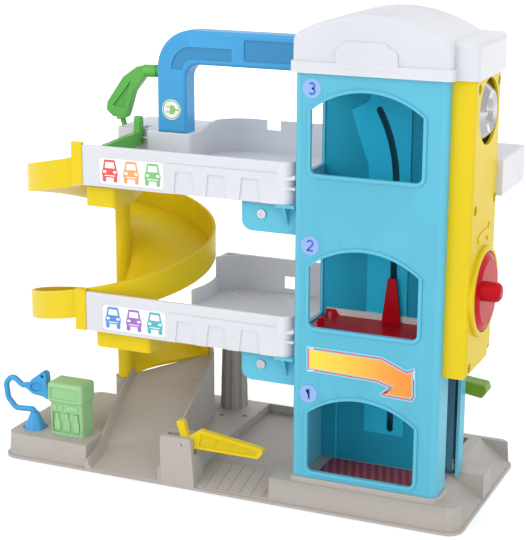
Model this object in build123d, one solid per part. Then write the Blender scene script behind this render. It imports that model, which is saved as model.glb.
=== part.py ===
from build123d import *
import math
import os

# A toy parking garage: a tower with a hand-cranked lift, two decks, a spiral ramp and a base.
# Millimetres. While it is built, x runs right from the tower's left wall, y runs back from the
# tower's front wall and z runs up from the ground. At the end everything moves so that the
# origin lies under the middle of the whole garage.

os.makedirs("parts", exist_ok=True)

# ---- sizes shared by many pieces ---------------------------------------------------------
wall = 2.2                      # moulded wall
deck_floor_thickness = 2.0
moving_gap = 0.3                # between pieces that move past each other
seat_gap = 0.1                  # between pieces that are only pushed together
pin_clearance = 0.06            # radial play of a pin in its bore
sticker = 0.4                   # label thickness
storey = 115.0                  # height from one deck to the next
tower_width = 112.0
tower_depth = 72.0
screw_radius = 2.0
screw_head_height = 1.4

# ---- base --------------------------------------------------------------------------------
base_left = -250.7
base_right = tower_width + 20.4
base_front = -6.0
base_back = 149.2
base_top = 20.0
base_lip = 2.0
base_corner = 12.0
base_draft = 4.0
parking_floor = 12.0
parking_left = -80.0
parking_right = -1.8
parking_front = 27.0
parking_back = 145.0
drive_ramp_right = -17.0
drive_ramp_foot = 2.0
groove_pitch = 9.65
groove_width = 0.7
groove_depth = 0.4
collar_height = 4.5
collar_wall = 1.6
collar_depth = 23.0
mat_left = 12.0
mat_right = tower_width - 20.0
mat_front = 9.0
mat_back = 54.0
side_ridge = tower_width - 6.0
side_ramp_reach = 25.0
side_ramp_foot = 2.2
side_ramps = ((8.0, 62.0), (84.0, 141.0))
side_block_top = 22.0
post_left = -107.0
post_right = -81.0
post_back = 12.0
post_top = 41.0
post_flare = 3.0
hose_x = -232.7
hose_y = 17.0
hose_hole_radius = 10.0
hose_hole_depth = 10.0
pump_front = 10.0

# ---- tower -------------------------------------------------------------------------------
tower_top = 331.0
tower_corner = 4.5
tower_parting = 23.0            # front shell meets back shell
window_left = 12.5
window_right = tower_width - 17.0
window_corner = 4.5
window_sills = (30.0, 141.5, 254.5)
window_shoulder = 45.5
window_peak = 60.0
window_rim = 2.4
window_rim_height = 1.1
door_front = 5.0
door_back = 54.0
door_height = 62.0
panel_front = 55.0
panel_thickness = 2.2
panel_right = tower_width - 14.0
slot_width = 5.2
slot_x = 58.2
slot_straight_top = 241.0
slot_curve_radius = 109.4
slot_curve_angle = 29.0
disc_radius = 7.0
disc_x = 13.0
disc_heights = (90.2, 202.2, 315.1)

# ---- lift --------------------------------------------------------------------------------
platform_top = 136.5            # at the middle level
platform_thickness = 2.2
platform_left = 6.0
platform_right = tower_width - 12.0
platform_front = 5.0
platform_back = 50.0
rail_back = 54.0
rail_height = 7.0
hinge_x = 10.0
hinge_pin_radius = 1.5
follower_height = 29.5
follower_radius = 2.2
slider_rise = 16.0              # slider centre above the platform top
slider_half_height = 10.0
belt_y = 61.5
belt_x = tower_width - 6.7
belt_width = 5.0
belt_thickness = 1.2
belt_play = 0.05                # between the belt and its pulleys
upright_thickness = 2.0
pulley_radius = 4.7
belt_bottom = 27.2
belt_top = 300.0
idler_pin_radius = 1.5
crank_y = 42.0
crank_z = 171.3
crank_radius = 28.8
crank_thickness = 5.0
crank_shaft_radius = 4.0
crank_shaft_reach = 3.0         # how far the shaft stands out of the housing
crank_collar = 3.2
crank_collar_wall = 4.2
peg_offset = 17.8
peg_angle = 163.0               # from the back, turning up
peg_radius = 7.2
peg_length = 14.6
gear_module = 1.0
crank_gear_teeth = 28
pinion_teeth = 14
gear_distance = gear_module * (crank_gear_teeth + pinion_teeth) / 2
gear_slant = math.acos((belt_y - crank_y) / gear_distance)
pinion_z = crank_z + gear_distance * math.sin(gear_slant)
gear_width = 4.0
gear_x = tower_width + 3.0
pinion_shaft_radius = 2.4

# ---- yellow housing and bell -------------------------------------------------------------
housing_right = tower_width + 16.6
housing_front = 7.4
housing_back = tower_depth
housing_bottom = 114.5
housing_corner = 3.0
housing_screw_places = [(y, z) for y in (17.0, 66.0) for z in (120.6, 235.0, 319.5)]
bell_y = 42.0
bell_z = 301.0
bell_radius = 21.5
bell_opening = 23.5
bell_base_x = tower_width + 8.0
bell_front_x = bell_base_x + 10.5
bell_shell = 1.0
bell_dimple = 5.2               # how far the middle of the dome stands out from its rim
bell_screw_radius = 1.5
bell_screw_depth = 4.5
bell_post_radius = 3.0
striker_y = 65.5
striker_z = 303.0
striker_pin_radius = 1.2
trigger_z = 278.6               # under edge of the tab that the lift knocks
turn_arrow_z = 166.0            # centre that the raised arrow curves round
turn_arrow_radius = 48.0
turn_arrow_width = 5.0

# ---- roof --------------------------------------------------------------------------------
roof_bottom = 326.0
roof_overhang = 3.2
roof_back_overhang = 3.0
roof_skirt = 8.0
roof_shoulder = 352.0
roof_peak = 368.5
roof_extension_right = housing_right + 2.2
roof_extension_top = 353.0

# ---- decks -------------------------------------------------------------------------------
deck_left = -178.0
deck_front = 2.0
fascia_wall = 2.5
fascia_bottom = 114.5           # of the middle deck
fascia_height = 31.0
fascia_corner = 10.0
fascia_return = 13.0
deck_floor_rise = 13.0          # deck floor above the fascia's bottom edge
lane_back = 58.0
deck_back = 122.0
deck_right = -0.3
doorway_ramp = 35.0
back_wall_rise = 28.0           # top of the middle deck's back wall above its floor
upper_wall_rise = 25.5
tray_bend = 28.0                # radius of a tray's back left corner
icon_left = -159.0
icon_right = -105.0
icon_low = 117.0                # of the middle deck
icon_high = 137.0
recess_depth = 0.9
recess_spans = ((-97.0, -79.4), (-71.0, -53.6), (-44.0, -26.4))
recess_top = 131.5
block_left = -180.0
block_right = -111.0
block_front = 60.0
block_set_back = 68.0
block_step = -150.0
block_top = 263.5
rear_right = tower_width + 20.4
rear_back = 138.0
rear_bottom = 235.0
rear_seam = 254.5
rear_top = 261.5

# ---- spiral ramp -------------------------------------------------------------------------
spiral_x = -183.0
spiral_y = 81.0
spiral_radius = 75.4
spiral_wall = 2.3
spiral_wall_height = 20.0
spiral_floor = 2.5
spiral_pitch = 104.4            # drop in one turn
spiral_start = 229.5            # floor height where it leaves the upper deck
spiral_clear = 0.8
column_radius = 6.2
column_bore = 3.8
column_bottom = 51.5

# ---- exit chute: left and right edges of its floor, from the ramp to the ground -----------
chute_left = ((-175.5, 84.0, 53.2), (-174.0, 64.0, 40.0), (-172.0, 44.0, 25.0),
              (-170.0, 22.0, 11.0), (-168.0, -6.0, 2.9))
chute_right = ((-132.0, 135.4, 60.4), (-112.0, 98.0, 55.0), (-110.5, 66.0, 38.0),
               (-109.8, 36.0, 23.0), (-109.4, -6.0, 2.9))
chute_right_wall = (20.0, 20.0, 16.5, 16.0, 11.0)
chute_left_wall = 6.0
chute_left_widths = (1.2, 5.0, 6.0, 6.0, 6.0)
chute_left_crest = 0.6          # share of the ridge's width that slopes up from the floor
chute_floor = 1.6
chute_seat = 1.2

# ---- handle ------------------------------------------------------------------------------
handle_left = -139.5
handle_leg = 24.5
handle_top = 343.0
handle_arm = 26.0
handle_front = 60.0
handle_depth = 18.0
handle_outer_bend = 30.0
handle_inner_bend = 11.0
handle_right = -3.5
handle_edge = 2.5
sign_z = 281.5
sign_radius = 8.0
band_outer = 17.5               # curved recess on the handle, measured from its bend's centre
band_inner = 8.0

# ---- small moving pieces -----------------------------------------------------------------
barrier_x = -88.0
barrier_z = 36.0
barrier_front = -1.2
barrier_thickness = 5.0
barrier_pin_radius = 1.5
gate_x = -157.5
gate_thickness = 5.0
gate_y = 63.0
gate_z = 257.0
gate_pin_radius = 1.5
gate_tab = 17.0                 # height of the gate's tab above its pin
charger_y = 69.0
charger_z = 309.5
charger_peg_radius = 3.0
lever_x = tower_width - 17.0
lever_z = 85.0
lever_thickness = 13.0
lever_pin_radius = 2.0


# ---- helpers -----------------------------------------------------------------------------
def block(x, y, z):
    """Box between two corners, given as a (low, high) pair for each axis."""
    size = [high - low for low, high in (x, y, z)]
    return Pos(x[0], y[0], z[0]) * Box(*size, align=(Align.MIN,) * 3)


def rod(start, direction, radius, length):
    """Round bar from a start point."""
    plane = Plane(origin=start, z_dir=direction)
    return plane * Cylinder(radius, length, align=(Align.CENTER, Align.CENTER, Align.MIN))


def tube(start, direction, radius, bore, length):
    """Round bar with a bore."""
    return rod(start, direction, radius, length) - rod(start, direction, bore, length)


def front_plate(points, y):
    """Outline of (x, z) points, filled between two depths."""
    outline = Polyline(*[(px, y[0], pz) for px, pz in points], close=True)
    return extrude(make_face(outline), amount=y[1] - y[0], dir=(0, 1, 0))


def side_plate(points, x):
    """Outline of (y, z) points, filled between two x places."""
    outline = Polyline(*[(x[0], py, pz) for py, pz in points], close=True)
    return extrude(make_face(outline), amount=x[1] - x[0], dir=(1, 0, 0))


def floor_plate(points, z):
    """Outline of (x, y) points, filled between two heights."""
    outline = Polyline(*[(px, py, z[0]) for px, py in points], close=True)
    return extrude(make_face(outline), amount=z[1] - z[0], dir=(0, 0, 1))


def edges_at(solid, axis, places):
    """Straight edges along an axis whose two other coordinates are among the places."""
    directions = {"x": Axis.X, "y": Axis.Y, "z": Axis.Z}
    found = []
    for edge in solid.edges().filter_by(directions[axis]):
        spot = edge.center()
        across = {"x": (spot.Y, spot.Z), "y": (spot.X, spot.Z), "z": (spot.X, spot.Y)}[axis]
        if any(math.dist(across, place) < 0.2 for place in places):
            found.append(edge)
    return found


def rounded(solid, axis, radius, places=None):
    """Round the edges along an axis, all of them or those at the given places."""
    directions = {"x": Axis.X, "y": Axis.Y, "z": Axis.Z}
    if places is None:
        chosen = solid.edges().filter_by(directions[axis])
    else:
        chosen = edges_at(solid, axis, places)
    return fillet(chosen, radius)


def soft_box(x, y, z, radius):
    """Box with every edge rounded."""
    body = block(x, y, z)
    return fillet(body.edges(), radius)


# ---- base --------------------------------------------------------------------------------
def base_outline(inset):
    """Ground outline of the base, drawn in by an inset."""
    corners = [(base_left, base_front), (base_right, base_front), (base_right, base_back),
               (-165.0, base_back), (-195.0, 116.0), (-229.0, 116.0), (base_left, 70.0)]
    outline = make_face(Polyline(*corners, close=True))
    outline = fillet(outline.vertices(), base_corner)
    return offset(outline, -inset) if inset else outline


def chute_plan(clearance):
    """Ground plan of the exit chute with its walls, grown by a clearance."""
    left = []
    right = []
    for start, end, width in zip(chute_left, chute_right, chute_left_widths):
        along = Vector(end[0] - start[0], end[1] - start[1], 0).normalized()
        outer_left = Vector(*start[:2], 0) - along * (width + clearance)
        outer_right = Vector(*end[:2], 0) + along * (wall + clearance)
        left.append((outer_left.X, outer_left.Y))
        right.append((outer_right.X, outer_right.Y))
    left[-1] = (left[-1][0], base_front - 1)
    right[-1] = (right[-1][0], base_front - 1)
    return left + right[::-1]


def gate_post():
    """Flared post at the parking entrance, with a slot for the barrier's hub."""
    top = [(post_left, post_top), (post_right, post_top)]
    post = front_plate([(post_left, 0), (post_right + post_flare, 0)] + top[::-1],
                       (base_front, post_back))
    post = rounded(post, "y", 2.0, top)
    slot_front = barrier_front - moving_gap
    slot_back = barrier_front + barrier_thickness + moving_gap
    post -= block((post_left + 4, 0), (slot_front, slot_back), (barrier_z - 9, post_top + 1))
    bore_start = (barrier_x, base_front - 1, barrier_z)
    return post - rod(bore_start, (0, 1, 0), barrier_pin_radius, post_back - base_front - 1)


def base_plate():
    body = extrude(base_outline(0), amount=base_lip)
    body += extrude(Pos(0, 0, base_lip) * base_outline(base_lip), amount=base_top - base_lip,
                    taper=base_draft)
    body += block((tower_width + seat_gap, side_ridge + side_ramp_reach), (62, 84),
                  (base_lip, side_block_top))
    body -= block((parking_left, parking_right), (parking_front, parking_back),
                  (parking_floor, base_top + 1))
    body -= side_plate([(base_front - 3, drive_ramp_foot), (parking_front + 0.1, parking_floor),
                        (parking_front + 0.1, base_top + 5), (base_front - 3, base_top + 5)],
                       (parking_left, drive_ramp_right))
    for index in range(6):
        groove_x = parking_left + groove_pitch * (index + 1)
        body -= side_plate([(base_front - 3, drive_ramp_foot - groove_depth),
                            (parking_front, parking_floor - groove_depth),
                            (parking_front, base_top), (base_front - 3, base_top)],
                           (groove_x, groove_x + groove_width))
    ramp_end = side_ridge + side_ramp_reach + 2
    for low, high in side_ramps:
        body -= front_plate([(side_ridge, base_top), (ramp_end, side_ramp_foot - 1.4),
                             (ramp_end, base_top + 5), (side_ridge, base_top + 5)], (low, high))
    body += gate_post()
    collar = block((-collar_wall, tower_width + collar_wall), (-collar_wall, collar_depth),
                   (base_top - 1, base_top + collar_height))
    collar = rounded(collar, "z", tower_corner, [(-collar_wall, -collar_wall),
                                                 (tower_width + collar_wall, -collar_wall)])
    room = block((-seat_gap, tower_width + seat_gap), (-seat_gap, collar_depth + 1),
                 (base_top, base_top + collar_height + 1))
    room = rounded(room, "z", tower_corner,
                   [(-seat_gap, -seat_gap), (tower_width + seat_gap, -seat_gap)])
    body += collar - room
    body -= block((-20, -collar_wall), (base_front - 3, -3.2), (base_top - 1.5, base_top + 9))
    body += rod((spiral_x, spiral_y, 0), (0, 0, 1), column_radius + 2, column_bottom)
    body -= floor_plate(chute_plan(seat_gap), (chute_seat, 60))
    body -= block((mat_left, mat_right), (mat_front, mat_back), (base_top - sticker, base_top + 1))
    body -= block((side_ridge - 36, side_ridge - 9), (123, 137), (base_top - 8, base_top + 1))
    body -= rod((hose_x, hose_y, base_top - hose_hole_depth), (0, 0, 1), hose_hole_radius, 20)
    for hole_x, hole_y in ((-105.7, 104.0), (-87.4, 109.5)):
        body -= rod((hole_x, hole_y, base_top - 6), (0, 0, 1), screw_radius, 10)
    pockets = [((4, side_ridge - 5), (4, 66), base_top - 3), ((4, 58), (78, 143), base_top - 3),
               ((side_ridge - 36, side_ridge - 6), (78, 118), base_top - 3),
               ((-76, -6), (34, 141), parking_floor - 3),
               ((-116, -84), (106, 144), base_top - 7), ((-244, -182), (32, 62), base_top - 3)]
    for x, y, top in pockets:
        body -= rounded(block(x, y, (-1, top)), "z", 3.0)
    return body


def exit_chute():
    """Slide from the end of the spiral ramp to the front edge of the base."""
    sections = []
    for start, end, right_rise, width in zip(chute_left, chute_right, chute_right_wall,
                                             chute_left_widths):
        along = Vector(end[0] - start[0], end[1] - start[1], 0).normalized()
        left = Vector(*start)
        right = Vector(*end)
        left_outer = left - along * width
        right_outer = right + along * wall
        left_crest = left - along * width * chute_left_crest
        profile = [(left_outer, chute_seat), (left_outer, left.Z + chute_left_wall),
                   (left_crest, left.Z + chute_left_wall), (left, left.Z), (right, right.Z),
                   (right, right.Z + right_rise), (right_outer, right.Z + right_rise),
                   (right_outer, chute_seat), (right, chute_seat), (right, right.Z - chute_floor),
                   (left, left.Z - chute_floor), (left, chute_seat)]
        corners = [Vector(place.X, place.Y, height) for place, height in profile]
        sections.append(Wire.make_polygon(corners, close=True))
    chute = Solid.make_loft(sections[:2], True)
    for first, second in zip(sections[1:], sections[2:]):
        chute = chute + Solid.make_loft([first, second], True)
    return chute


def support_column():
    """Fluted column from the base up to the middle deck's back corner."""
    foot = 11.5
    rise = fascia_bottom - base_top - seat_gap
    outline = Circle(foot)
    for location in PolarLocations(foot + 1.0, 8):
        outline -= location * Circle(2.6)
    return Pos(-106, 130, base_top) * extrude(outline, amount=rise, taper=1.5)


# ---- fuel pump ---------------------------------------------------------------------------
def bottle(x, y):
    """Raised bottle on the pump's front, seen from the front."""
    shape = [(-2.6, 23.4), (2.6, 23.4), (2.6, 30.5), (1.2, 33.5), (1.2, 38.4), (-1.2, 38.4),
             (-1.2, 33.5), (-2.6, 30.5)]
    return front_plate([(x + px, pz) for px, pz in shape], y)


def fuel_pump():
    body = rounded(block((-214, -184.5), (pump_front, 28.7), (base_top, 48)), "z", 2.0)
    head = soft_box((-215.3, -183.2), (pump_front - 2, 29.6), (47, 63.8), 2.6)
    pump = body + head
    pump -= rounded(block((-212.6, -186.0), (pump_front - 3, pump_front - 1), (50.4, 60.4)), "y", 1.6)
    pump -= block((-212, -186.6), (pump_front - 1, pump_front + 1.8), (22, 39.5))
    for x in (-208.0, -199.3, -190.6):
        pump += bottle(x, (pump_front + 0.6, pump_front + 2.5))
    for x in (-209.0, -203.6):
        pump += rod((x, pump_front - 0.8, 43.6), (0, 1, 0), 1.9, 1.5)
    pump += rounded(block((-198.5, -188.0), (pump_front - 0.8, pump_front + 1), (42.0, 45.4)), "y", 1.2)
    return pump


def pump_nozzle():
    """Swivelling hose and nozzle moulded in one, with a round foot in the base's hole."""
    foot_bottom = base_top - hose_hole_depth + seat_gap
    plane = Plane(origin=(hose_x, hose_y, foot_bottom), z_dir=(0, 0, 1))
    arm = plane * Cylinder(hose_hole_radius - 0.4, 9.5, align=(Align.CENTER, Align.CENTER, Align.MIN))
    cone = Pos(hose_x, hose_y, foot_bottom + 9.5)
    arm += cone * Cone(hose_hole_radius - 1.0, 3.4, 13.5, align=(Align.CENTER, Align.CENTER, Align.MIN))
    route = [(hose_x, hose_y, 31.0), (hose_x - 1.0, hose_y, 35.2), (-241.0, hose_y, 34.6),
             (-250.5, hose_y, 34.0), (-257.6, hose_y, 42.0), (-259.0, hose_y, 54.5),
             (-252.6, hose_y, 61.5), (-243.5, hose_y, 54.5), (-235.0, hose_y, 56.0)]
    path = FilletPolyline(*route, radius=(2.6, 2.8, 6.0, 5.8, 5.6, 5.0, 4.0))
    arm += sweep(Plane(origin=route[0], z_dir=(-1.0, 0, 4.2)) * Circle(2.3), path=path)
    body = front_plate([(-239, 54), (-232, 49.5), (-222, 48.5), (-217.5, 46), (-216.7, 50),
                        (-219, 60), (-219.5, 68), (-223, 69.5), (-226.5, 66.5), (-232, 62.5)],
                       (hose_y - 3.5, hose_y + 3.5))
    body = fillet(body.edges().filter_by(Axis.Y), 1.4)
    body -= rod((-222.8, hose_y - 5, 65.6), (0, 1, 0), 1.5, 10)
    dish = extrude(Ellipse(6.0, 4.0), amount=1.4, both=True)
    body -= Pos(-228.5, hose_y - 3.5, 56.0) * Rot(90, 0, 0) * Rot(0, 0, 15) * dish
    return arm + body


# ---- barrier -----------------------------------------------------------------------------
def barrier_arm():
    low = barrier_front
    high = barrier_front + barrier_thickness
    arm = front_plate([(-84.5, 31.5), (-78, 32.4), (-26.9, 32.4), (-20.6, 40.4), (-75.7, 48.0),
                       (-84.5, 41.5)], (low, high))
    arm = rounded(arm, "y", 3.0, [(-26.9, 32.4), (-20.6, 40.4)])
    arm += rod((barrier_x, low, barrier_z), (0, 1, 0), 6.4, barrier_thickness)
    tab = front_plate([(-90.5, 38), (-85.5, 40.5), (-89.0, 53.5), (-95.5, 53.0)], (low, high))
    arm += rounded(tab, "y", 1.8, [(-89.0, 53.5), (-95.5, 53.0)])
    arm -= front_plate([(-76, 34.6), (-30, 34.6), (-26, 38.6), (-74, 45.0)], (low - 1, low + 0.7))
    for x in (-66, -53, -40):
        crest = 43.6 - (x + 70) / 8
        arm += front_plate([(x, 34), (x + 1.0, 34), (x + 6.6, crest), (x + 5.6, crest + 0.2)],
                           (low + 0.2, low + 1.5))
    bore = barrier_pin_radius + pin_clearance
    return arm - rod((barrier_x, low - 1, barrier_z), (0, 1, 0), bore, barrier_thickness + 2)


def barrier_pin():
    return rod((barrier_x, base_front + 1, barrier_z), (0, 1, 0), barrier_pin_radius,
               post_back - base_front - 3.1)


# ---- spiral ramp -------------------------------------------------------------------------
def ramp_height(azimuth):
    """Floor height of the spiral at an azimuth that falls from 270 degrees as the ramp descends."""
    return spiral_start - spiral_pitch * (270 - azimuth) / 360


def helicoid(low_azimuth, high_azimuth):
    """Ramp floor with its outer wall between two azimuths."""
    climb = ramp_height(high_azimuth) - ramp_height(low_azimuth)
    inner = column_radius - 1.5
    rail = spiral_radius - spiral_wall
    profile = [(inner, -spiral_floor), (spiral_radius, -spiral_floor),
               (spiral_radius, spiral_wall_height), (rail, spiral_wall_height), (rail, 0), (inner, 0)]
    section = make_face(Polyline(*[(r, 0, z) for r, z in profile], close=True))
    ramp = sweep(section, path=Helix(spiral_pitch, climb, spiral_radius), is_frenet=True)
    return Pos(spiral_x, spiral_y, ramp_height(low_azimuth)) * Rot(0, 0, low_azimuth) * ramp


def ramp_piece(low_azimuth, high_azimuth, hub_bottom, hub_top):
    """One moulding of the ramp with its length of the hollow column."""
    centre = (spiral_x, spiral_y, hub_bottom)
    below = (spiral_x, spiral_y, hub_bottom - 2 * spiral_floor)
    piece = helicoid(low_azimuth, high_azimuth)
    piece -= rod(below, (0, 0, 1), column_radius, 2 * spiral_floor)
    piece += rod(centre, (0, 0, 1), column_radius, hub_top - hub_bottom)
    return piece - rod(centre, (0, 0, 1), column_bore, hub_top - hub_bottom)


def ramp_bottom():
    """Last moulding, cut off where the exit chute takes over."""
    piece = ramp_piece(-330, -90, column_bottom, ramp_height(-90))
    start = Vector(*chute_left[0][:2], 0)
    end = Vector(*chute_right[0][:2], 0)
    heading = math.degrees(math.atan2(end.Y - start.Y, end.X - start.X))
    cutter = block((-1.5, 120), (-80, 0), (40, 110))
    cutter = Pos(start.X, start.Y, 0) * Rot(0, 0, heading) * cutter
    cutter -= rod((spiral_x, spiral_y, column_bottom), (0, 0, 1), column_radius, 70)
    return piece - cutter


def ramp_bracket(left, right, low, high):
    """Shelf that ties the ramp's column to the underside of a deck."""
    edge = spiral_x + column_radius + seat_gap
    shelf = floor_plate([(left, 9), (right, 9), (right, 40), (edge + 14, 88), (edge, 88), (edge, 62),
                         (left, 40)], (low, high))
    shelf = rounded(shelf, "z", 4.0, [(left, 9), (right, 9), (right, 40)])
    room = floor_plate([(left + wall, 9 + wall), (right - wall, 9 + wall), (right - wall, 39),
                        (edge + 13, 86), (edge + wall, 86), (edge + wall, 62), (left + wall, 40)],
                       (low + wall, high + 1))
    return shelf - room


def ramp_clip(bottom, lane_top):
    """Clip over the left end of a deck's front wall, open below the lane behind it."""
    clip = block((spiral_x + 0.2, deck_left + 4.5),
                 (deck_front - 1.2, deck_front + fascia_wall + 0.9), (bottom, bottom + fascia_height + 1.5))
    room = block((deck_left - seat_gap, deck_left + 6),
                 (deck_front - seat_gap, deck_front + fascia_wall + seat_gap),
                 (bottom - 1, bottom + fascia_height + seat_gap))
    lane = block((deck_left - 6, deck_left + 6), (deck_front + seat_gap, fascia_return),
                 (bottom - 1, lane_top + seat_gap))
    return rounded(clip, "z", 0.8) - room - lane


# ---- decks -------------------------------------------------------------------------------
def fascia(lift):
    """Front wall of a deck with its rounded right end, recesses and label field."""
    low = fascia_bottom + lift
    high = low + fascia_height
    right_end = deck_right - 1.5
    inner_end = right_end - fascia_wall
    outer = rounded(block((deck_left, right_end), (deck_front, fascia_return), (low, high)), "z",
                    fascia_corner, [(right_end, deck_front)])
    inner = block((deck_left - 1, inner_end), (deck_front + fascia_wall, fascia_return + 1),
                  (low - 1, high + 1))
    inner = rounded(inner, "z", fascia_corner - fascia_wall, [(inner_end, deck_front + fascia_wall)])
    board = outer - inner
    for left, right in recess_spans:
        board -= front_plate([(left, low - 1), (right, low - 1), (right - 2.2, recess_top + lift),
                              (left + 2.0, recess_top + lift)],
                             (deck_front - 1, deck_front + recess_depth))
    board -= block((icon_left, icon_right), (deck_front - 1, deck_front + sticker),
                   (icon_low + lift, icon_high + lift))
    line = low + 22.5
    return board - block((icon_right + 3, -14), (deck_front - 1, deck_front + 0.4), (line, line + 0.8))


def doorway_wedge(lift):
    """Short slope from the deck floor up to the lift platform."""
    floor = fascia_bottom + lift + deck_floor_rise
    sill = platform_top + lift - 0.2
    return front_plate([(-doorway_ramp, floor), (deck_right, sill), (deck_right, sill - 3),
                        (-doorway_ramp, floor - 1.5)], (deck_front + 1, lane_back))


def tray_walls(lift, rise, left_front):
    """Left wall with its bend, back wall and right wall of a deck's tray."""
    low = fascia_bottom + lift
    top = low + deck_floor_rise + rise
    left = block_right - wall
    front = tower_depth + 0.5
    outer = block((left, deck_right), (front, deck_back), (low, top))
    outer = rounded(outer, "z", tray_bend, [(left, deck_back)])
    inner = block((left + wall, deck_right - wall), (front - 1, deck_back - wall), (low - 1, top + 1))
    inner = rounded(inner, "z", tray_bend - wall, [(left + wall, deck_back - wall)])
    unused = block((left - 1, left + wall + 1), (front - 1, left_front), (low - 1, top + 1))
    return outer - inner - unused


def tray_floor(lift, left):
    floor = fascia_bottom + lift + deck_floor_rise
    plate = block((left, deck_right), (deck_front + 1, deck_back), (floor - deck_floor_thickness, floor))
    corner = block((left - 1, block_right + tray_bend), (deck_back - tray_bend, deck_back + 1),
                   (floor - 5, floor + 5))
    centre = (block_right - wall + tray_bend, deck_back - tray_bend, floor - 6)
    return plate - (corner - rod(centre, (0, 0, 1), tray_bend, 12))


def ramp_rim(top):
    """Low wall of the middle deck that runs round the spiral ramp."""
    bore = spiral_radius + spiral_clear
    centre = (spiral_x, spiral_y, fascia_bottom)
    rim = tube(centre, (0, 0, 1), bore + wall, bore, top - fascia_bottom)
    return rim & block((-130, -100), (lane_back, deck_back - tray_bend + 14), (fascia_bottom, top))


def mid_deck():
    lift = 0
    deck = tray_floor(lift, deck_left) + tray_walls(lift, back_wall_rise, deck_back - tray_bend - 2)
    deck -= rod((spiral_x, spiral_y, fascia_bottom - 1), (0, 0, 1), spiral_radius + spiral_clear, 60)
    deck = deck + fascia(lift) + doorway_wedge(lift) + ramp_rim(140.0)
    seat_left = -118.0
    seat_right = -95.0
    seat = block((seat_left, seat_right), (deck_back - tray_bend + 10, 141.5), (fascia_bottom, 150))
    seat = rounded(seat, "z", 3.0, [(seat_left, 141.5), (seat_right, 141.5)])
    bend_centre = (block_right - wall + tray_bend, deck_back - tray_bend, fascia_bottom - 1)
    seat -= rod(bend_centre, (0, 0, 1), tray_bend - wall / 2, 60)
    deck += seat - rod((spiral_x, spiral_y, fascia_bottom - 1), (0, 0, 1), spiral_radius + spiral_clear, 60)
    deck -= rounded(block((seat_left + wall, seat_right - wall), (deck_back + 0.5, 139.3),
                          (fascia_bottom + 3, 160)), "z", 2.0)
    deck -= block((-57, -47), (deck_back - 5, deck_back + 3), (131, 141.5))
    deck -= rod((-92, 100, fascia_bottom), (0, 0, 1), 4.0, 30)
    return deck


def raised_block(lift):
    """Hollow block behind the upper lane, with the carrying handle on top."""
    low = fascia_bottom + lift
    outline = [(block_left, block_set_back), (block_step, block_set_back), (block_step, block_front),
               (block_right, block_front), (block_right, deck_back), (block_left, deck_back)]
    outer = floor_plate(outline, (low, block_top))
    outer = rounded(outer, "z", 3.0, [outline[0], outline[2], outline[3], outline[5]])
    outer = fillet(outer.faces().sort_by(Axis.Z)[-1].edges(), 1.2)
    inner_left = block_left + wall
    inner_right = block_right - wall
    inner = floor_plate([(inner_left, block_set_back + wall), (block_step + wall, block_set_back + wall),
                         (block_step + wall, block_front + wall), (inner_right, block_front + wall),
                         (inner_right, deck_back - wall), (inner_left, deck_back - wall)],
                        (low - 1, block_top - wall))
    slot_half = gate_thickness / 2 + 2 * moving_gap
    slot = block((gate_x - slot_half, gate_x + slot_half), (block_set_back - 1, gate_y + gate_tab + 2),
                 (gate_z - 6, block_top + 1))
    return outer - inner - slot


def upper_deck():
    lift = storey
    floor = fascia_bottom + lift + deck_floor_rise
    lane_left = spiral_x + seat_gap
    deck = tray_floor(lift, block_right - wall) + tray_walls(lift, upper_wall_rise, deck_back - 40)
    deck -= side_plate([(deck_back - 41, block_top), (deck_back - 38, block_top),
                        (deck_back - 16, floor + upper_wall_rise), (deck_back - 16, floor + 60),
                        (deck_back - 41, floor + 60)], (block_right - wall - 1, block_right + 8))
    deck += front_plate([(lane_left, spiral_start), (block_right, floor),
                         (block_right, floor - deck_floor_thickness),
                         (lane_left, spiral_start - deck_floor_thickness)],
                        (deck_front + 1, block_set_back + 1))
    deck = deck + fascia(lift) + doorway_wedge(lift)
    deck += raised_block(lift)
    deck -= block((-73, -61), (deck_back - 5, deck_back + 3), (260, 290))
    column_room = column_radius + seat_gap
    deck -= rod((spiral_x, spiral_y, fascia_bottom + lift - 1), (0, 0, 1), column_room, 34)
    cap_bottom = ramp_height(270) + 2.2
    deck += rod((spiral_x, spiral_y, cap_bottom), (0, 0, 1), column_radius + 1.5, 5)
    ear_left = gate_x - gate_thickness / 2 - moving_gap - wall
    ear = side_plate([(gate_y - 4.5, gate_z - 22), (block_set_back + 1, gate_z - 22),
                      (block_set_back + 1, gate_z + 5), (gate_y - 4.5, gate_z + 5)],
                     (ear_left, ear_left + wall))
    deck += rounded(ear, "x", 3.0, [(gate_y - 4.5, gate_z + 5)])
    deck -= rod((ear_left - 1, gate_y, gate_z), (1, 0, 0), gate_pin_radius, 20)
    return deck


def rear_deck():
    """Box behind the tower that carries the upper deck round to the right."""
    outer = block((0, rear_right), (tower_depth + seat_gap, rear_back), (rear_bottom, rear_seam))
    outer = rounded(outer, "z", 4.0, [(rear_right, rear_back)])
    inner = block((wall, rear_right - wall), (tower_depth + seat_gap + wall, rear_back - wall),
                  (rear_bottom + wall, rear_seam + 1))
    return outer - inner


def rear_deck_lid():
    lid = block((0, rear_right), (tower_depth + seat_gap, rear_back), (rear_seam, rear_top))
    lid = rounded(lid, "z", 4.0, [(rear_right, rear_back)])
    lid = fillet(lid.faces().sort_by(Axis.Z)[-1].edges(), 1.5)
    room = block((wall, rear_right - wall), (tower_depth + seat_gap + wall, rear_back - wall),
                 (rear_seam - 1, rear_top - wall))
    return lid - room


def icon_panel(lift):
    panel = block((icon_left + seat_gap, icon_right - seat_gap),
                  (deck_front + seat_gap / 2, deck_front + sticker),
                  (icon_low + lift + seat_gap, icon_high + lift - seat_gap))
    return rounded(panel, "y", 2.0)


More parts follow.
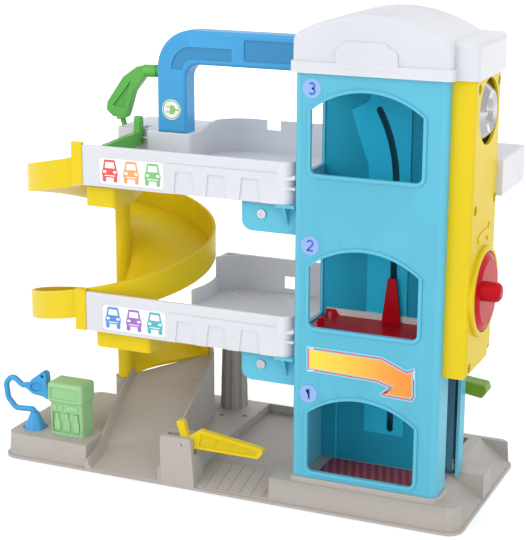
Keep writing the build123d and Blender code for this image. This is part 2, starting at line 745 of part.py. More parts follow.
# ---- handle ------------------------------------------------------------------------------
def handle_outline(inset, y):
    """Arch of the handle between two depths, drawn in by an inset."""
    left = handle_left + inset
    top = handle_top - inset
    leg_right = handle_left + handle_leg - inset
    arm_bottom = handle_top - handle_arm + inset
    right = handle_right - inset
    foot = block_top + inset
    arch = front_plate([(left, foot), (left, top), (right, top), (right, arm_bottom),
                        (leg_right, arm_bottom), (leg_right, foot)], y)
    arch = rounded(arch, "y", handle_outer_bend - inset, [(left, top)])
    return rounded(arch, "y", handle_inner_bend + inset, [(leg_right, arm_bottom)])


def handle_half(front):
    """Front or back shell of the handle."""
    middle = handle_front + handle_depth / 2
    if front:
        depth = (handle_front, middle)
        hollow = (handle_front + wall, middle + 1)
    else:
        depth = (middle, handle_front + handle_depth)
        hollow = (middle - 1, handle_front + handle_depth - wall)
    shell = handle_outline(0, depth)
    face = shell.faces().sort_by(Axis.Y)[0 if front else -1]
    shell = fillet(face.edges(), handle_edge)
    return shell - handle_outline(wall, hollow)


def handle_front_shell():
    shell = handle_half(True)
    sign_centre = (handle_left + handle_leg / 2, handle_front - 1, sign_z)
    shell -= rod(sign_centre, (0, 1, 0), sign_radius + 0.4, 1.6)
    low = handle_top - 21.0
    high = handle_top - 5.0
    panel = block((handle_right - 62.5, handle_right - 4.5), (handle_front - 1, handle_front + 0.8),
                  (low, high))
    shell -= rounded(panel, "y", 2.0, [(handle_right - 62.5, low), (handle_right - 62.5, high)])
    bend_x = handle_left + handle_outer_bend
    bend_z = handle_top - handle_outer_bend
    band = tube((bend_x, handle_front - 1, bend_z), (0, 1, 0), band_outer, band_inner, 1.8)
    band &= block((bend_x - 20, bend_x), (handle_front - 1, handle_front + 1), (bend_z, bend_z + 20))
    band += block((bend_x - 0.1, handle_right - 72.5), (handle_front - 1, handle_front + 0.8),
                  (bend_z + band_inner, bend_z + band_outer))
    return shell - band - charger_bore()


def charger_bore():
    """Room for the charging arm's peg between the two halves of the handle."""
    bore = charger_peg_radius + pin_clearance
    return rod((handle_left - 1, charger_y, charger_z), (1, 0, 0), bore, wall + 2)


def handle_back_shell():
    back = handle_front + handle_depth
    recess = rod((-70, back - 1.2, handle_top - handle_arm / 2), (0, 1, 0), 3.0, 2)
    return handle_half(False) - charger_bore() - recess


def handle_sign():
    return rod((handle_left + handle_leg / 2, handle_front + 0.05, sign_z), (0, 1, 0), sign_radius, 0.5)


# ---- charging arm and exit gate ----------------------------------------------------------
def charging_arm():
    axis_y = charger_y
    arm = rod((handle_left - 3, axis_y, charger_z), (1, 0, 0), charger_peg_radius, 6.0)
    arm += rod((handle_left - moving_gap - 4, axis_y, charger_z), (1, 0, 0), 4.2, 4.0)
    arm += rod((-154.5, axis_y, charger_z - 0.6), (1, 0, 0.03), 4.9, 11.4)
    body = front_plate([(-153, 313.6), (-160, 312), (-172, 303.5), (-186.4, 283), (-187, 276.5),
                        (-181.5, 271.8), (-170.5, 271.0), (-168.5, 275), (-163, 292), (-153, 304.6)],
                       (axis_y - 4, axis_y + 4))
    body = fillet(body.edges().filter_by(Axis.Y), 1.6)
    body -= front_plate([(-165.5, 300), (-181, 280.5), (-171.5, 279.5)], (axis_y - 5, axis_y - 2.6))
    arm += fillet(body.edges().group_by(Axis.Y)[0], 0.6)
    arm += rod((-175.6, axis_y, 272.6), (0.25, 0, -1), 4.3, 2.6)
    return arm + rod((-175.2, axis_y, 272), (0.3, 0, -1), 2.2, 7.4)


def exit_gate():
    low = gate_x - gate_thickness / 2
    gate = side_plate([(gate_y, gate_z - 5), (gate_y, gate_z + 5), (8, gate_z + 3.5), (5.2, gate_z + 1),
                       (5.2, gate_z - 6.5), (8, gate_z - 8)], (low, low + gate_thickness))
    gate += rod((low, gate_y, gate_z), (1, 0, 0), 5.0, gate_thickness)
    tab_top = gate_z + gate_tab
    tab = side_plate([(gate_y - 4, gate_z + 2), (gate_y + 4, gate_z + 2), (gate_y + 3, tab_top),
                      (gate_y - 3, tab_top)], (low, low + gate_thickness))
    gate += rounded(tab, "x", 2.0, [(gate_y + 3, tab_top), (gate_y - 3, tab_top)])
    bore = gate_pin_radius + pin_clearance
    return gate - rod((low - 1, gate_y, gate_z), (1, 0, 0), bore, gate_thickness + 2)


def exit_gate_pin():
    left = gate_x - gate_thickness / 2 - moving_gap - wall
    return rod((left, gate_y, gate_z), (1, 0, 0), gate_pin_radius, block_step + 1.5 - left)


# ---- tower -------------------------------------------------------------------------------
def window(sill, grow, y):
    """Window opening between two depths, grown all round."""
    left = window_left - grow
    right = window_right + grow
    low = sill - grow
    shoulder = sill + window_shoulder
    start = Line((left, y[0], shoulder), (left, y[0], low))
    bottom = Line((left, y[0], low), (right, y[0], low))
    side = Line((right, y[0], low), (right, y[0], shoulder))
    peak = ((left + right) / 2, y[0], sill + window_peak + grow)
    crown = ThreePointArc((right, y[0], shoulder), peak, (left, y[0], shoulder))
    solid = extrude(make_face([start, bottom, side, crown]), amount=y[1] - y[0], dir=(0, 1, 0))
    return rounded(solid, "y", window_corner + grow, [(left, low), (right, low)])


def doorway(level, y):
    """Opening in the tower's left wall at an upper level."""
    sill = platform_top + storey * (level - 1)
    return block((-1, wall + 1), y, (sill - 0.4, sill + door_height))


def tower_front():
    low = base_top
    shell = rounded(block((0, tower_width), (0, tower_parting), (low, tower_top)), "z", tower_corner,
                    [(0, 0), (tower_width, 0)])
    room = block((wall, tower_width - wall), (wall, tower_parting + 1), (low - 1, tower_top + 1))
    shell -= rounded(room, "z", tower_corner - wall, [(wall, wall), (tower_width - wall, wall)])
    for sill in window_sills:
        shell += window(sill, window_rim, (-window_rim_height, wall)) - window(sill, 0, (-3, wall + 1))
        shell -= window(sill, 0, (-3, wall + 1))
    for level in (1, 2):
        shell -= doorway(level, (door_front, tower_parting + 1))
    return shell


def tower_back():
    low = base_top
    top = base_top + 92
    shell = block((0, tower_width), (tower_parting, tower_depth), (low, tower_top))
    shell = rounded(shell, "z", 3.0, [(0, tower_depth), (tower_width, tower_depth)])
    shell -= block((wall, tower_width - wall), (tower_parting - 1, tower_depth - wall),
                   (low - 1, tower_top + 1))
    for level in (1, 2):
        shell -= doorway(level, (tower_parting - 1, door_back))
    right = (tower_width - wall - 1, tower_width + 1)
    shell -= block(right, (tower_parting - 1, door_back + 3), (low - 1, top))
    shell -= rod((right[0], belt_y, pinion_z), (1, 0, 0), pinion_shaft_radius + pin_clearance, 5)
    bore = crank_shaft_radius + pin_clearance
    shell += tube((tower_width - wall, crank_y, crank_z), (1, 0, 0), bore + 2.5, bore, wall + 1.6)
    shell -= rod((right[0], crank_y, crank_z), (1, 0, 0), bore, 5)
    for height in (belt_bottom, belt_top):
        shell -= rod((right[0], belt_y, height), (1, 0, 0), idler_pin_radius, 5)
    shell -= block(right, (striker_y - 7, striker_y + 1), (trigger_z - 2.1, trigger_z + 7.4))
    shell -= rod((lever_x, tower_depth - wall - 1, lever_z), (0, 1, 0), lever_pin_radius, 5)
    return shell


def cam_slot(y):
    """Slot for the platform's follower: straight, then curving left near the top."""
    low = window_sills[0] + 21
    half = slot_width / 2
    straight = block((slot_x - half, slot_x + half), y, (low, slot_straight_top))
    straight += rod((slot_x, y[0], low), (0, 1, 0), half, y[1] - y[0])
    centre = (slot_x - slot_curve_radius, slot_straight_top)
    ring = tube((centre[0], y[0], centre[1]), (0, 1, 0), slot_curve_radius + half,
                slot_curve_radius - half, y[1] - y[0])
    angle = math.radians(slot_curve_angle)
    reach = 1.2 * (slot_curve_radius + slot_width)
    sector = front_plate([centre, (centre[0] + reach, centre[1]),
                          (centre[0] + reach, centre[1] + reach * math.tan(angle))], y)
    end = (centre[0] + slot_curve_radius * math.cos(angle), y[0],
           centre[1] + slot_curve_radius * math.sin(angle))
    return straight + (ring & sector) + rod(end, (0, 1, 0), half, y[1] - y[0])


def shaft_panel():
    """Panel behind the lift with the curved slot, its raised track and two ribs."""
    depth = (panel_front, panel_front + panel_thickness)
    panel = block((wall + seat_gap, panel_right), depth, (base_top, tower_top - 2))
    track = (panel_front - 1.0, panel_front + 0.5)
    panel += front_plate([(37.5, 46), (69, 46), (69, 300), (60, 306), (38, 306), (36, 300),
                          (23, 292.6), (29, 274), (36.5, 254), (37.5, 240)], track)
    panel += block((panel_right - 10, panel_right - 8.5), track, (base_top, tower_top - 4))
    panel += block((14, 15.5), track, (base_top, 120))
    return panel - cam_slot((panel_front - 3, depth[1] + 2))


def wing_bracket(lift):
    """Blue plate that screws the deck's front wall to the tower, with a ledge and a gusset."""
    low = 91.5 + lift
    deck = fascia_bottom + lift
    top = deck + 9
    bracket = rounded(block((-44.5, -seat_gap), (8.8, 11.2), (low, top)), "y", 8.0, [(-44.5, low)])
    bracket -= block((deck_right - 2.5 - fascia_wall, 1), (8, 12), (deck - seat_gap, top + 1))
    bracket += block((-15, -seat_gap), (1.0, 9), (deck - 2.2, deck - seat_gap))
    bracket += side_plate([(1.0, deck - 2), (9, deck - 2), (9, low + 6)], (-9.5, -7.5))
    bracket -= rod((-28.5, 8, low + 13.4), (0, 1, 0), screw_radius + 0.2, 4)
    return bracket


def screw(start, direction):
    """Screw with a cross-slotted head that faces against the direction."""
    head = rod(start, direction, screw_radius * 1.7, screw_head_height)
    shank = rod(start, direction, screw_radius, screw_head_height + 3.4)
    plane = Plane(origin=start, z_dir=direction)
    cross = plane * (Box(4.4, 0.8, 1.2) + Box(0.8, 4.4, 1.2))
    return head + shank - cross


def wing_screws():
    return [screw((-28.5, 8.8 - screw_head_height, 91.5 + lift + 13.4), (0, 1, 0))
            for lift in (0, storey)]


# ---- roof --------------------------------------------------------------------------------
def roof_profile(inset, y, x_grow):
    """Arched roof section between two depths."""
    left = -x_grow + inset
    right = tower_width + x_grow - inset
    bottom = roof_bottom - (1 if inset else 0)
    shoulder = roof_shoulder - inset
    crown = 2 * (roof_peak - inset) - shoulder
    arch = Bezier((left, y[0], shoulder), ((left + right) / 2, y[0], crown), (right, y[0], shoulder))
    sides = [Line((right, y[0], shoulder), (right, y[0], bottom)),
             Line((right, y[0], bottom), (left, y[0], bottom)),
             Line((left, y[0], bottom), (left, y[0], shoulder))]
    solid = extrude(make_face([arch] + sides), amount=y[1] - y[0], dir=(0, 1, 0))
    return rounded(solid, "y", 9.0 - inset, [(left, shoulder), (right, shoulder)])


def roof_cap():
    front = -roof_overhang + 1.4
    back = tower_depth + roof_back_overhang
    cap = roof_profile(0, (front, back), roof_overhang - 1.4)
    cap = fillet(cap.faces().sort_by(Axis.Y)[0].edges().filter_by(GeomType.LINE, reverse=True), 4.0)
    skirt = rounded(block((-roof_overhang, tower_width + roof_overhang), (-roof_overhang, back),
                          (roof_bottom, roof_bottom + roof_skirt)), "z", tower_corner,
                    [(-roof_overhang, -roof_overhang), (tower_width + roof_overhang, -roof_overhang)])
    cap += skirt
    extension = block((tower_width - 8, roof_extension_right), (housing_front - 2.0, back),
                      (roof_bottom, roof_extension_top))
    extension = rounded(extension, "z", 4.0, [(roof_extension_right, housing_front - 2.0)])
    extension = rounded(extension, "y", 5.0, [(roof_extension_right, roof_extension_top)])
    cap += extension
    low = roof_bottom + 4.0
    shoulder = roof_bottom + 17.0
    top = roof_bottom + 23.4
    plate = front_plate([(31, low), (31, shoulder), (38, top), (66, top), (75.5, shoulder), (77, low)],
                        (front - 1.6, front + 2))
    plate = rounded(plate, "y", 2.5, [(31, shoulder), (38, top), (66, top), (75.5, shoulder)])
    cap += fillet(plate.faces().sort_by(Axis.Y)[0].edges(), 0.8)
    inside = roof_profile(wall, (front + wall, back - wall), roof_overhang - 1.4)
    inside += block((-seat_gap, tower_width + seat_gap), (-seat_gap, tower_depth + seat_gap),
                    (roof_bottom - 1, tower_top + 1))
    inside += block((tower_width - 10, roof_extension_right - wall), (housing_front, back - wall),
                    (roof_bottom - 1, roof_extension_top - wall))
    return cap - inside


# ---- yellow housing ----------------------------------------------------------------------
def turn_arrow(x):
    """Raised curved arrow that shows which way to turn the crank."""
    y = crank_y
    z = turn_arrow_z
    ring = tube((x[0], y, z), (1, 0, 0), turn_arrow_radius + turn_arrow_width / 2,
                turn_arrow_radius - turn_arrow_width / 2, x[1] - x[0])
    wedge = side_plate([(y, z), (y - 24, z + 70), (y + 16, z + 70)], x)
    head = side_plate([(y + 8, z + 41), (y + 20, z + 42.5), (y + 11, z + 54)], x)
    return (ring & wedge) + head


def gear_housing():
    outline = [(housing_front, housing_bottom), (housing_front, roof_bottom), (housing_back, roof_bottom),
               (housing_back, housing_bottom)]
    shell = side_plate(outline, (tower_width, housing_right))
    shell = rounded(shell, "x", 12.0, [(housing_back, housing_bottom)])
    shell = rounded(shell, "z", housing_corner,
                    [(housing_right, housing_front), (housing_right, housing_back)])
    room = block((tower_width - 1, housing_right - wall), (housing_front + wall, housing_back - wall),
                 (housing_bottom + wall, roof_bottom + 1))
    room = rounded(room, "x", 12.0 - wall, [(housing_back - wall, housing_bottom + wall)])
    shell -= room
    start = (housing_right - wall, crank_y, crank_z)
    ring = rod(start, (1, 0, 0), crank_radius + crank_collar_wall, wall + crank_collar)
    ring = fillet(ring.faces().sort_by(Axis.X)[-1].edges(), 1.4)
    shell += ring - rod((housing_right, crank_y, crank_z), (1, 0, 0), crank_radius + moving_gap * 2, 10)
    bore = crank_shaft_radius + pin_clearance
    shell -= rod((housing_right - 10, crank_y, crank_z), (1, 0, 0), bore, 20)
    shell += turn_arrow((housing_right - 0.5, housing_right + 0.8))
    shell -= rod((housing_right - 10, bell_y, bell_z), (1, 0, 0), bell_opening, 20)
    for y, z in housing_screw_places:
        boss = rod((tower_width, y, z), (1, 0, 0), 4.2, housing_right - tower_width - wall + 0.5)
        shell += boss & block((tower_width, housing_right), (housing_front, housing_back),
                              (housing_bottom, roof_bottom))
        shell -= rod((housing_right - 5, y, z), (1, 0, 0), screw_radius * 1.7 + 0.2, 10)
        shell -= rod((tower_width - 1, y, z), (1, 0, 0), screw_radius, 20)
    return shell


def housing_screws():
    return [screw((housing_right - 5 + screw_head_height, y, z), (-1, 0, 0))
            for y, z in housing_screw_places]


def bell_dome():
    """Pressed steel dome with a dimple and a hole in the middle, open at the back."""
    rise = bell_front_x - bell_base_x
    hole = bell_screw_radius + seat_gap
    outer = [(bell_radius, 0), (bell_radius, 1.0), (bell_radius - 1.6, rise * 0.55),
             (bell_radius * 0.68, rise), (bell_radius * 0.42, rise * 0.86), (5.2, bell_dimple),
             (hole, bell_dimple)]
    inner = [(hole, bell_dimple - bell_shell)]
    inner += [(r - bell_shell, x - bell_shell) for r, x in outer[-2:1:-1]]
    rim = [(bell_radius - bell_shell, 0)]
    section = make_face(Polyline(*outer, *inner, *rim, close=True))
    seat = Plane(origin=(bell_base_x, bell_y, bell_z), x_dir=(0, 1, 0), z_dir=(0, 0, -1))
    return seat * revolve(section, axis=Axis.Y)


def bell_post():
    """Post that carries the bell on the tower's right wall."""
    start = tower_width + seat_gap
    top = bell_base_x + bell_dimple - bell_shell - seat_gap
    post = rod((start, bell_y, bell_z), (1, 0, 0), bell_post_radius, top - start)
    post += rod((start, bell_y, bell_z), (1, 0, 0), 8.0, 2.0)
    bore_start = (top - bell_screw_depth, bell_y, bell_z)
    return post - rod(bore_start, (1, 0, 0), bell_screw_radius, bell_screw_depth + 1)


def bell_screw():
    """Screw through the middle of the bell into its post, with a slotted head."""
    seat = bell_base_x + bell_dimple
    head = rod((seat, bell_y, bell_z), (1, 0, 0), 3.4, 1.8)
    shank_start = (seat - bell_screw_depth + 1, bell_y, bell_z)
    shank = rod(shank_start, (1, 0, 0), bell_screw_radius, bell_screw_depth)
    slot = block((seat + 0.9, seat + 3), (bell_y - 4, bell_y + 4), (bell_z - 0.5, bell_z + 0.5))
    return head + shank - slot


def bell_striker():
    """Sprung lever that the lift knocks at the top of its travel, with a hammer beside the dome."""
    x = (tower_width + 1.2, tower_width + 3.6)
    hammer_radius = 2.4
    reach = (bell_radius + hammer_radius + 1.8) / math.sqrt(2)
    hammer_y = bell_y + reach
    hammer_z = bell_z - reach
    arm = side_plate([(striker_y - 3, striker_z), (striker_y + 3, striker_z),
                      (striker_y + 1.5, trigger_z), (hammer_y - 1.6, trigger_z)], x)
    arm += rod((x[0], striker_y, striker_z), (1, 0, 0), 3.4, x[1] - x[0])
    arm += rod((x[0], hammer_y, hammer_z), (1, 0, 0), hammer_radius, bell_base_x + 4 - x[0])
    arm += block((belt_x - belt_width / 2 - 6, x[0] + 0.5), (striker_y - 4.5, striker_y - 1.5),
                 (trigger_z, trigger_z + 3.6))
    return arm - rod((x[0] - 1, striker_y, striker_z), (1, 0, 0), striker_pin_radius + pin_clearance, 8)


def striker_pin():
    return rod((tower_width, striker_y, striker_z), (1, 0, 0), striker_pin_radius, 5.0)


# ---- crank, gears and belt ---------------------------------------------------------------
def gear_outline(teeth, centre, start):
    """Spur gear outline of (y, z) points round a centre, with one tooth at the start angle."""
    pitch_radius = gear_module * teeth / 2
    steps = ((-1.13, -1.15), (-0.66, 0.0), (-0.3, 0.85), (0.3, 0.85), (0.66, 0.0), (1.13, -1.15))
    points = []
    for tooth in range(teeth):
        turn = start + 2 * math.pi * tooth / teeth
        for across, rise in steps:
            radius = pitch_radius + rise * gear_module
            angle = turn + math.asin(across * gear_module / radius)
            points.append((centre[0] + radius * math.cos(angle), centre[1] + radius * math.sin(angle)))
    return points


def crank_gear():
    points = gear_outline(crank_gear_teeth, (crank_y, crank_z), gear_slant)
    gear = side_plate(points, (gear_x, gear_x + gear_width))
    gear += rod((gear_x + gear_width - 0.1, crank_y, crank_z), (1, 0, 0), crank_shaft_radius + 3, 3.0)
    return gear - rod((gear_x - 1, crank_y, crank_z), (1, 0, 0), crank_shaft_radius, 12)


def crank_shaft():
    start = tower_width - wall + 0.1
    length = housing_right + crank_shaft_reach - start
    return rod((start, crank_y, crank_z), (1, 0, 0), crank_shaft_radius, length)


def crank_handle():
    """Red disc in the housing's collar with a peg to turn it by."""
    start = housing_right + moving_gap
    disc = rod((start, crank_y, crank_z), (1, 0, 0), crank_radius, crank_thickness)
    disc = chamfer(disc.faces().sort_by(Axis.X)[-1].edges(), 2.6, 5.2)
    peg_y = crank_y + peg_offset * math.cos(math.radians(peg_angle))
    peg_z = crank_z + peg_offset * math.sin(math.radians(peg_angle))
    peg = rod((start + crank_thickness - 0.5, peg_y, peg_z), (1, 0, 0), peg_radius, peg_length)
    peg = fillet(peg.faces().sort_by(Axis.X)[-1].edges(), 4.5)
    return disc + peg - rod((start - 1, crank_y, crank_z), (1, 0, 0), crank_shaft_radius,
                            crank_shaft_reach + 1 - moving_gap)


def drive_pinion():
    """Pinion, its shaft through the tower wall and the pulley that drives the belt."""
    start = gear_slant + math.pi + math.pi / pinion_teeth
    points = gear_outline(pinion_teeth, (belt_y, pinion_z), start)
    pinion = side_plate(points, (gear_x - 0.5, gear_x + gear_width + 0.5))
    pulley_right = belt_x + belt_width / 2
    pinion += rod((pulley_right, belt_y, pinion_z), (1, 0, 0), pinion_shaft_radius, gear_x - pulley_right)
    pulley_left = belt_x - belt_width / 2 + 0.2
    return pinion + rod((pulley_left, belt_y, pinion_z), (1, 0, 0), pulley_radius, belt_width)


def belt_idler(height):
    """Small pulley that turns on a pin in the tower wall."""
    start = belt_x - belt_width / 2
    pulley = rod((start, belt_y, height), (1, 0, 0), pulley_radius, belt_width)
    bore = idler_pin_radius + pin_clearance
    return pulley - rod((start - 1, belt_y, height), (1, 0, 0), bore, belt_width + 2)


def idler_pins():
    start = belt_x - belt_width / 2 - 0.8
    return [rod((start, belt_y, height), (1, 0, 0), idler_pin_radius, tower_width - start)
            for height in (belt_bottom, belt_top)]


def belt_loop(radius, x):
    """Stadium round the two idlers."""
    loop = block(x, (belt_y - radius, belt_y + radius), (belt_bottom, belt_top))
    for height in (belt_bottom, belt_top):
        loop += rod((x[0], belt_y, height), (1, 0, 0), radius, x[1] - x[0])
    return loop


def lift_belt():
    inner = pulley_radius + belt_play
    width = (belt_x - belt_width / 2, belt_x + belt_width / 2)
    return belt_loop(inner + belt_thickness, width) - belt_loop(inner, (width[0] - 1, width[1] + 1))


# ---- lift --------------------------------------------------------------------------------
def lift_carriage():
    """Slider behind the panel, a post in front of the belt and a rail along the platform's back."""
    centre = platform_top + slider_rise
    low = centre - slider_half_height
    high = centre + slider_half_height
    behind = panel_front + panel_thickness + moving_gap
    belt_left = belt_x - belt_width / 2
    belt_right = belt_x + belt_width / 2
    belt_face = belt_y - pulley_radius - belt_play - belt_thickness
    rail_low = platform_top - platform_thickness
    rail_front = platform_back + upright_thickness + moving_gap
    slider_right = belt_left - 0.9
    neck_left = panel_right + moving_gap
    slider = rounded(block((panel_right - 12, slider_right),
                           (behind, tower_depth - wall - moving_gap), (low, high)), "x", 2.0)
    neck = block((neck_left, slider_right), (rail_back, behind + 1), (low, high))
    post = block((neck_left, belt_right), (rail_front, belt_face - seat_gap), (rail_low, high))
    rail = block((platform_left, belt_right), (rail_front, rail_back), (rail_low, rail_low + rail_height))
    shelf = block((platform_right + moving_gap, belt_right), (platform_front, rail_back),
                  (rail_low, rail_low + 1.6))
    carriage = slider + neck + post + rail + shelf
    return carriage - rod((hinge_x, platform_back, platform_top + 1.2), (0, 1, 0), hinge_pin_radius, 8)


def lift_platform():
    """Floor of the lift, hinged at its left end, with a follower on an upright at the back."""
    low = platform_top - platform_thickness
    upright = (platform_back, platform_back + upright_thickness)
    plate = block((platform_left, platform_right), (platform_front, upright[1]), (low, platform_top))
    plate = rounded(plate, "z", 2.0)
    plate += block((platform_right - 32, platform_right - 2), (platform_front, platform_front + 2),
                   (low, platform_top + 4.5))
    stop_top = platform_top + 5.5
    plate += rounded(block((10.5, 14.5), (22, 26), (low, stop_top)), "y", 1.0, [(10.5, stop_top)])
    plate += front_plate([(hinge_x - 4, low), (hinge_x + 8, low), (hinge_x + 3.5, platform_top + 4.4),
                          (hinge_x - 3.5, platform_top + 4.4)], upright)
    arm_top = platform_top + follower_height + 4
    plate += front_plate([(slot_x - 7.5, low), (slot_x + 7.5, low), (slot_x + 3.2, arm_top),
                          (slot_x - 3.2, arm_top)], upright)
    follower = (slot_x, platform_back + 1, platform_top + follower_height)
    reach = panel_front - 1.0 - moving_gap - platform_back - 1
    plate += rod(follower, (0, 1, 0), follower_radius, reach)
    bore = hinge_pin_radius + pin_clearance
    return plate - rod((hinge_x, platform_back - 1, platform_top + 1.2), (0, 1, 0), bore, 4)


def platform_pin():
    return rod((hinge_x, platform_back - 0.6, platform_top + 1.2), (0, 1, 0), hinge_pin_radius,
               rail_back - platform_back + 0.6)


# ---- back lever --------------------------------------------------------------------------
def back_lever():
    """Lever on the tower's back wall that reaches out past its right side."""
    y = (tower_depth + moving_gap, tower_depth + moving_gap + lever_thickness)
    outline = [(-6, -5), (16, -4), (29, -6), (32.5, -1), (31, 4.2), (14, 6), (-6, 6)]
    lever = front_plate([(lever_x + px, lever_z + pz) for px, pz in outline], y)
    lever = fillet(lever.edges().filter_by(Axis.Y), 2.0)
    bore = lever_pin_radius + pin_clearance
    return lever - rod((lever_x, y[0] - 1, lever_z), (0, 1, 0), bore, 20)


def back_lever_pin():
    start = tower_depth - wall
    outside = moving_gap + lever_thickness
    pin = rod((lever_x, start, lever_z), (0, 1, 0), lever_pin_radius, wall + outside + 0.4)
    cap = (lever_x, tower_depth + outside + 0.2, lever_z)
    return pin + rod(cap, (0, 1, 0), lever_pin_radius + 1.6, 1.2)


# ---- labels ------------------------------------------------------------------------------
def number_discs():
    return [rod((disc_x, -0.02, height), (0, -1, 0), disc_radius, sticker) for height in disc_heights]


def arrow_sticker():
    outline = [(11.0, 127.2), (69.4, 126.6), (88.4, 118.9), (94.3, 122.4), (95.4, 99.6), (92.9, 95.4),
               (69.8, 96.2), (67.8, 98.6), (73.5, 103.7), (65.7, 106.1), (16.0, 107.6), (11.2, 106.9)]
    return front_plate(outline, (-sticker - 0.02, -0.02))


def floor_mat():
    mat = block((mat_left + seat_gap, mat_right - seat_gap), (mat_front + seat_gap, mat_back - seat_gap),
                (base_top - sticker, base_top - 0.05))
    return rounded(mat, "z", 3.0)


# ---- the whole garage --------------------------------------------------------------------
def build():
    """Every piece by name, in the tower's own coordinates."""
    upper = storey
    return {
        "base_plate": base_plate(),
        "exit_chute": exit_chute(),
        "support_column": support_column(),
        "fuel_pump": fuel_pump(),
        "pump_nozzle": pump_nozzle(),
        "barrier_arm": barrier_arm(),
        "barrier_pin": barrier_pin(),
        "ramp_top": ramp_piece(90, 270, ramp_height(90), ramp_height(270) + 2),
        "ramp_middle": ramp_piece(-90, 90, ramp_height(-90), ramp_height(90)),
        "ramp_bottom": ramp_bottom(),
        "ramp_bracket_lower": ramp_bracket(-170, -122, 100, fascia_bottom - seat_gap),
        "ramp_bracket_upper": ramp_bracket(-176, -150, 212, 227.3),
        "ramp_clip_lower": ramp_clip(fascia_bottom, fascia_bottom + deck_floor_rise),
        "ramp_clip_upper": ramp_clip(fascia_bottom + upper, fascia_bottom + upper + 2.0),
        "mid_deck": mid_deck(),
        "upper_deck": upper_deck(),
        "rear_deck": rear_deck(),
        "rear_deck_lid": rear_deck_lid(),
        "handle_front": handle_front_shell(),
        "handle_back": handle_back_shell(),
        "handle_sign": handle_sign(),
        "charging_arm": charging_arm(),
        "exit_gate": exit_gate(),
        "exit_gate_pin": exit_gate_pin(),
        "tower_front": tower_front(),
        "tower_back": tower_back(),
        "shaft_panel": shaft_panel(),
        "wing_bracket_lower": wing_bracket(0),
        "wing_bracket_upper": wing_bracket(upper),
        "wing_screws": wing_screws(),
        "roof_cap": roof_cap(),
        "gear_housing": gear_housing(),
        "housing_screws": housing_screws(),
        "bell_dome": bell_dome(),
        "bell_post": bell_post(),
        "bell_screw": bell_screw(),
        "bell_striker": bell_striker(),
        "striker_pin": striker_pin(),
        "crank_handle": crank_handle(),
        "crank_shaft": crank_shaft(),
        "crank_gear": crank_gear(),
        "drive_pinion": drive_pinion(),
        "belt_idler_bottom": belt_idler(belt_bottom),
        "belt_idler_top": belt_idler(belt_top),
        "idler_pins": idler_pins(),
        "lift_belt": lift_belt(),
        "lift_carriage": lift_carriage(),
        "lift_platform": lift_platform(),
        "platform_pin": platform_pin(),
        "back_lever": back_lever(),
        "back_lever_pin": back_lever_pin(),
        "number_discs": number_discs(),
        "arrow_sticker": arrow_sticker(),
        "floor_mat": floor_mat(),
        "icon_panel_mid": icon_panel(0),
        "icon_panel_upper": icon_panel(upper),
    }


def solids_of(shape):
    """Solids of a piece, which may be one shape or a list of shapes."""
    shapes = shape if isinstance(shape, list) else [shape]
    return [solid for item in shapes for solid in item.solids()]


pieces = {name: Compound(children=[Solid(solid.wrapped) for solid in solids_of(shape)])
          for name, shape in build().items()}
boxes = [piece.bounding_box() for piece in pieces.values()]
middle_x = (min(box.min.X for box in boxes) + max(box.max.X for box in boxes)) / 2
middle_y = (min(box.min.Y for box in boxes) + max(box.max.Y for box in boxes)) / 2
ground = min(box.min.Z for box in boxes)
print("origin in tower coordinates:", round(middle_x, 4), round(middle_y, 4), round(ground, 4))
for name, piece in pieces.items():
    export_step(Pos(-middle_x, -middle_y, -ground) * piece, f"parts/{name}.step")
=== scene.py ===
"""Looks of a toy parking garage with a lift tower, two decks and a spiral ramp."""
import logging
import math
from dataclasses import dataclass
from enum import Enum
from typing import Any, Optional, Sequence, Union

import bmesh
import bpy
from mathutils import Matrix, Vector


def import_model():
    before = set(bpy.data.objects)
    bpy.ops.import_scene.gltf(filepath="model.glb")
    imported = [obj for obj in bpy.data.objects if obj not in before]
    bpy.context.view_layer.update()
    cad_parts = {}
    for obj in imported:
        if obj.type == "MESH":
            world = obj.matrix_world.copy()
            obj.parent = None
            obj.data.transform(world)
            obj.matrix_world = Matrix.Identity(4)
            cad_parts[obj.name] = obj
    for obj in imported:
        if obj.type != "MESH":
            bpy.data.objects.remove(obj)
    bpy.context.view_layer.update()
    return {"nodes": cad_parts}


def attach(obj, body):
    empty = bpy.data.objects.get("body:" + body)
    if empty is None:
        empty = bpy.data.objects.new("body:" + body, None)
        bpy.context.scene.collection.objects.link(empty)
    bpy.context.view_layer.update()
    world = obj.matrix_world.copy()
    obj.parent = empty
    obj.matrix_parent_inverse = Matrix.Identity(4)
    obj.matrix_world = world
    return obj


LOG = logging.getLogger("garage")
Colour = tuple[float, float, float]
Point = tuple[float, float]
Outline = Sequence[Point]

# The tower's front left foot, in millimetres from the row's origin.
TOWER_X = 56.5259
TOWER_Y = -75.2
ROOT = "garage"
MILLI = 0.001


def place(x: float, y: float, z: float) -> Vector:
    """Turn millimetres from the tower's front left foot into the row's metres.

    Args:
        x: Distance to the right of the tower's left wall.
        y: Distance behind the tower's front wall.
        z: Height above the ground.

    Returns:
        The point in the row's frame.
    """
    return Vector((x + TOWER_X, y + TOWER_Y, z)) * MILLI


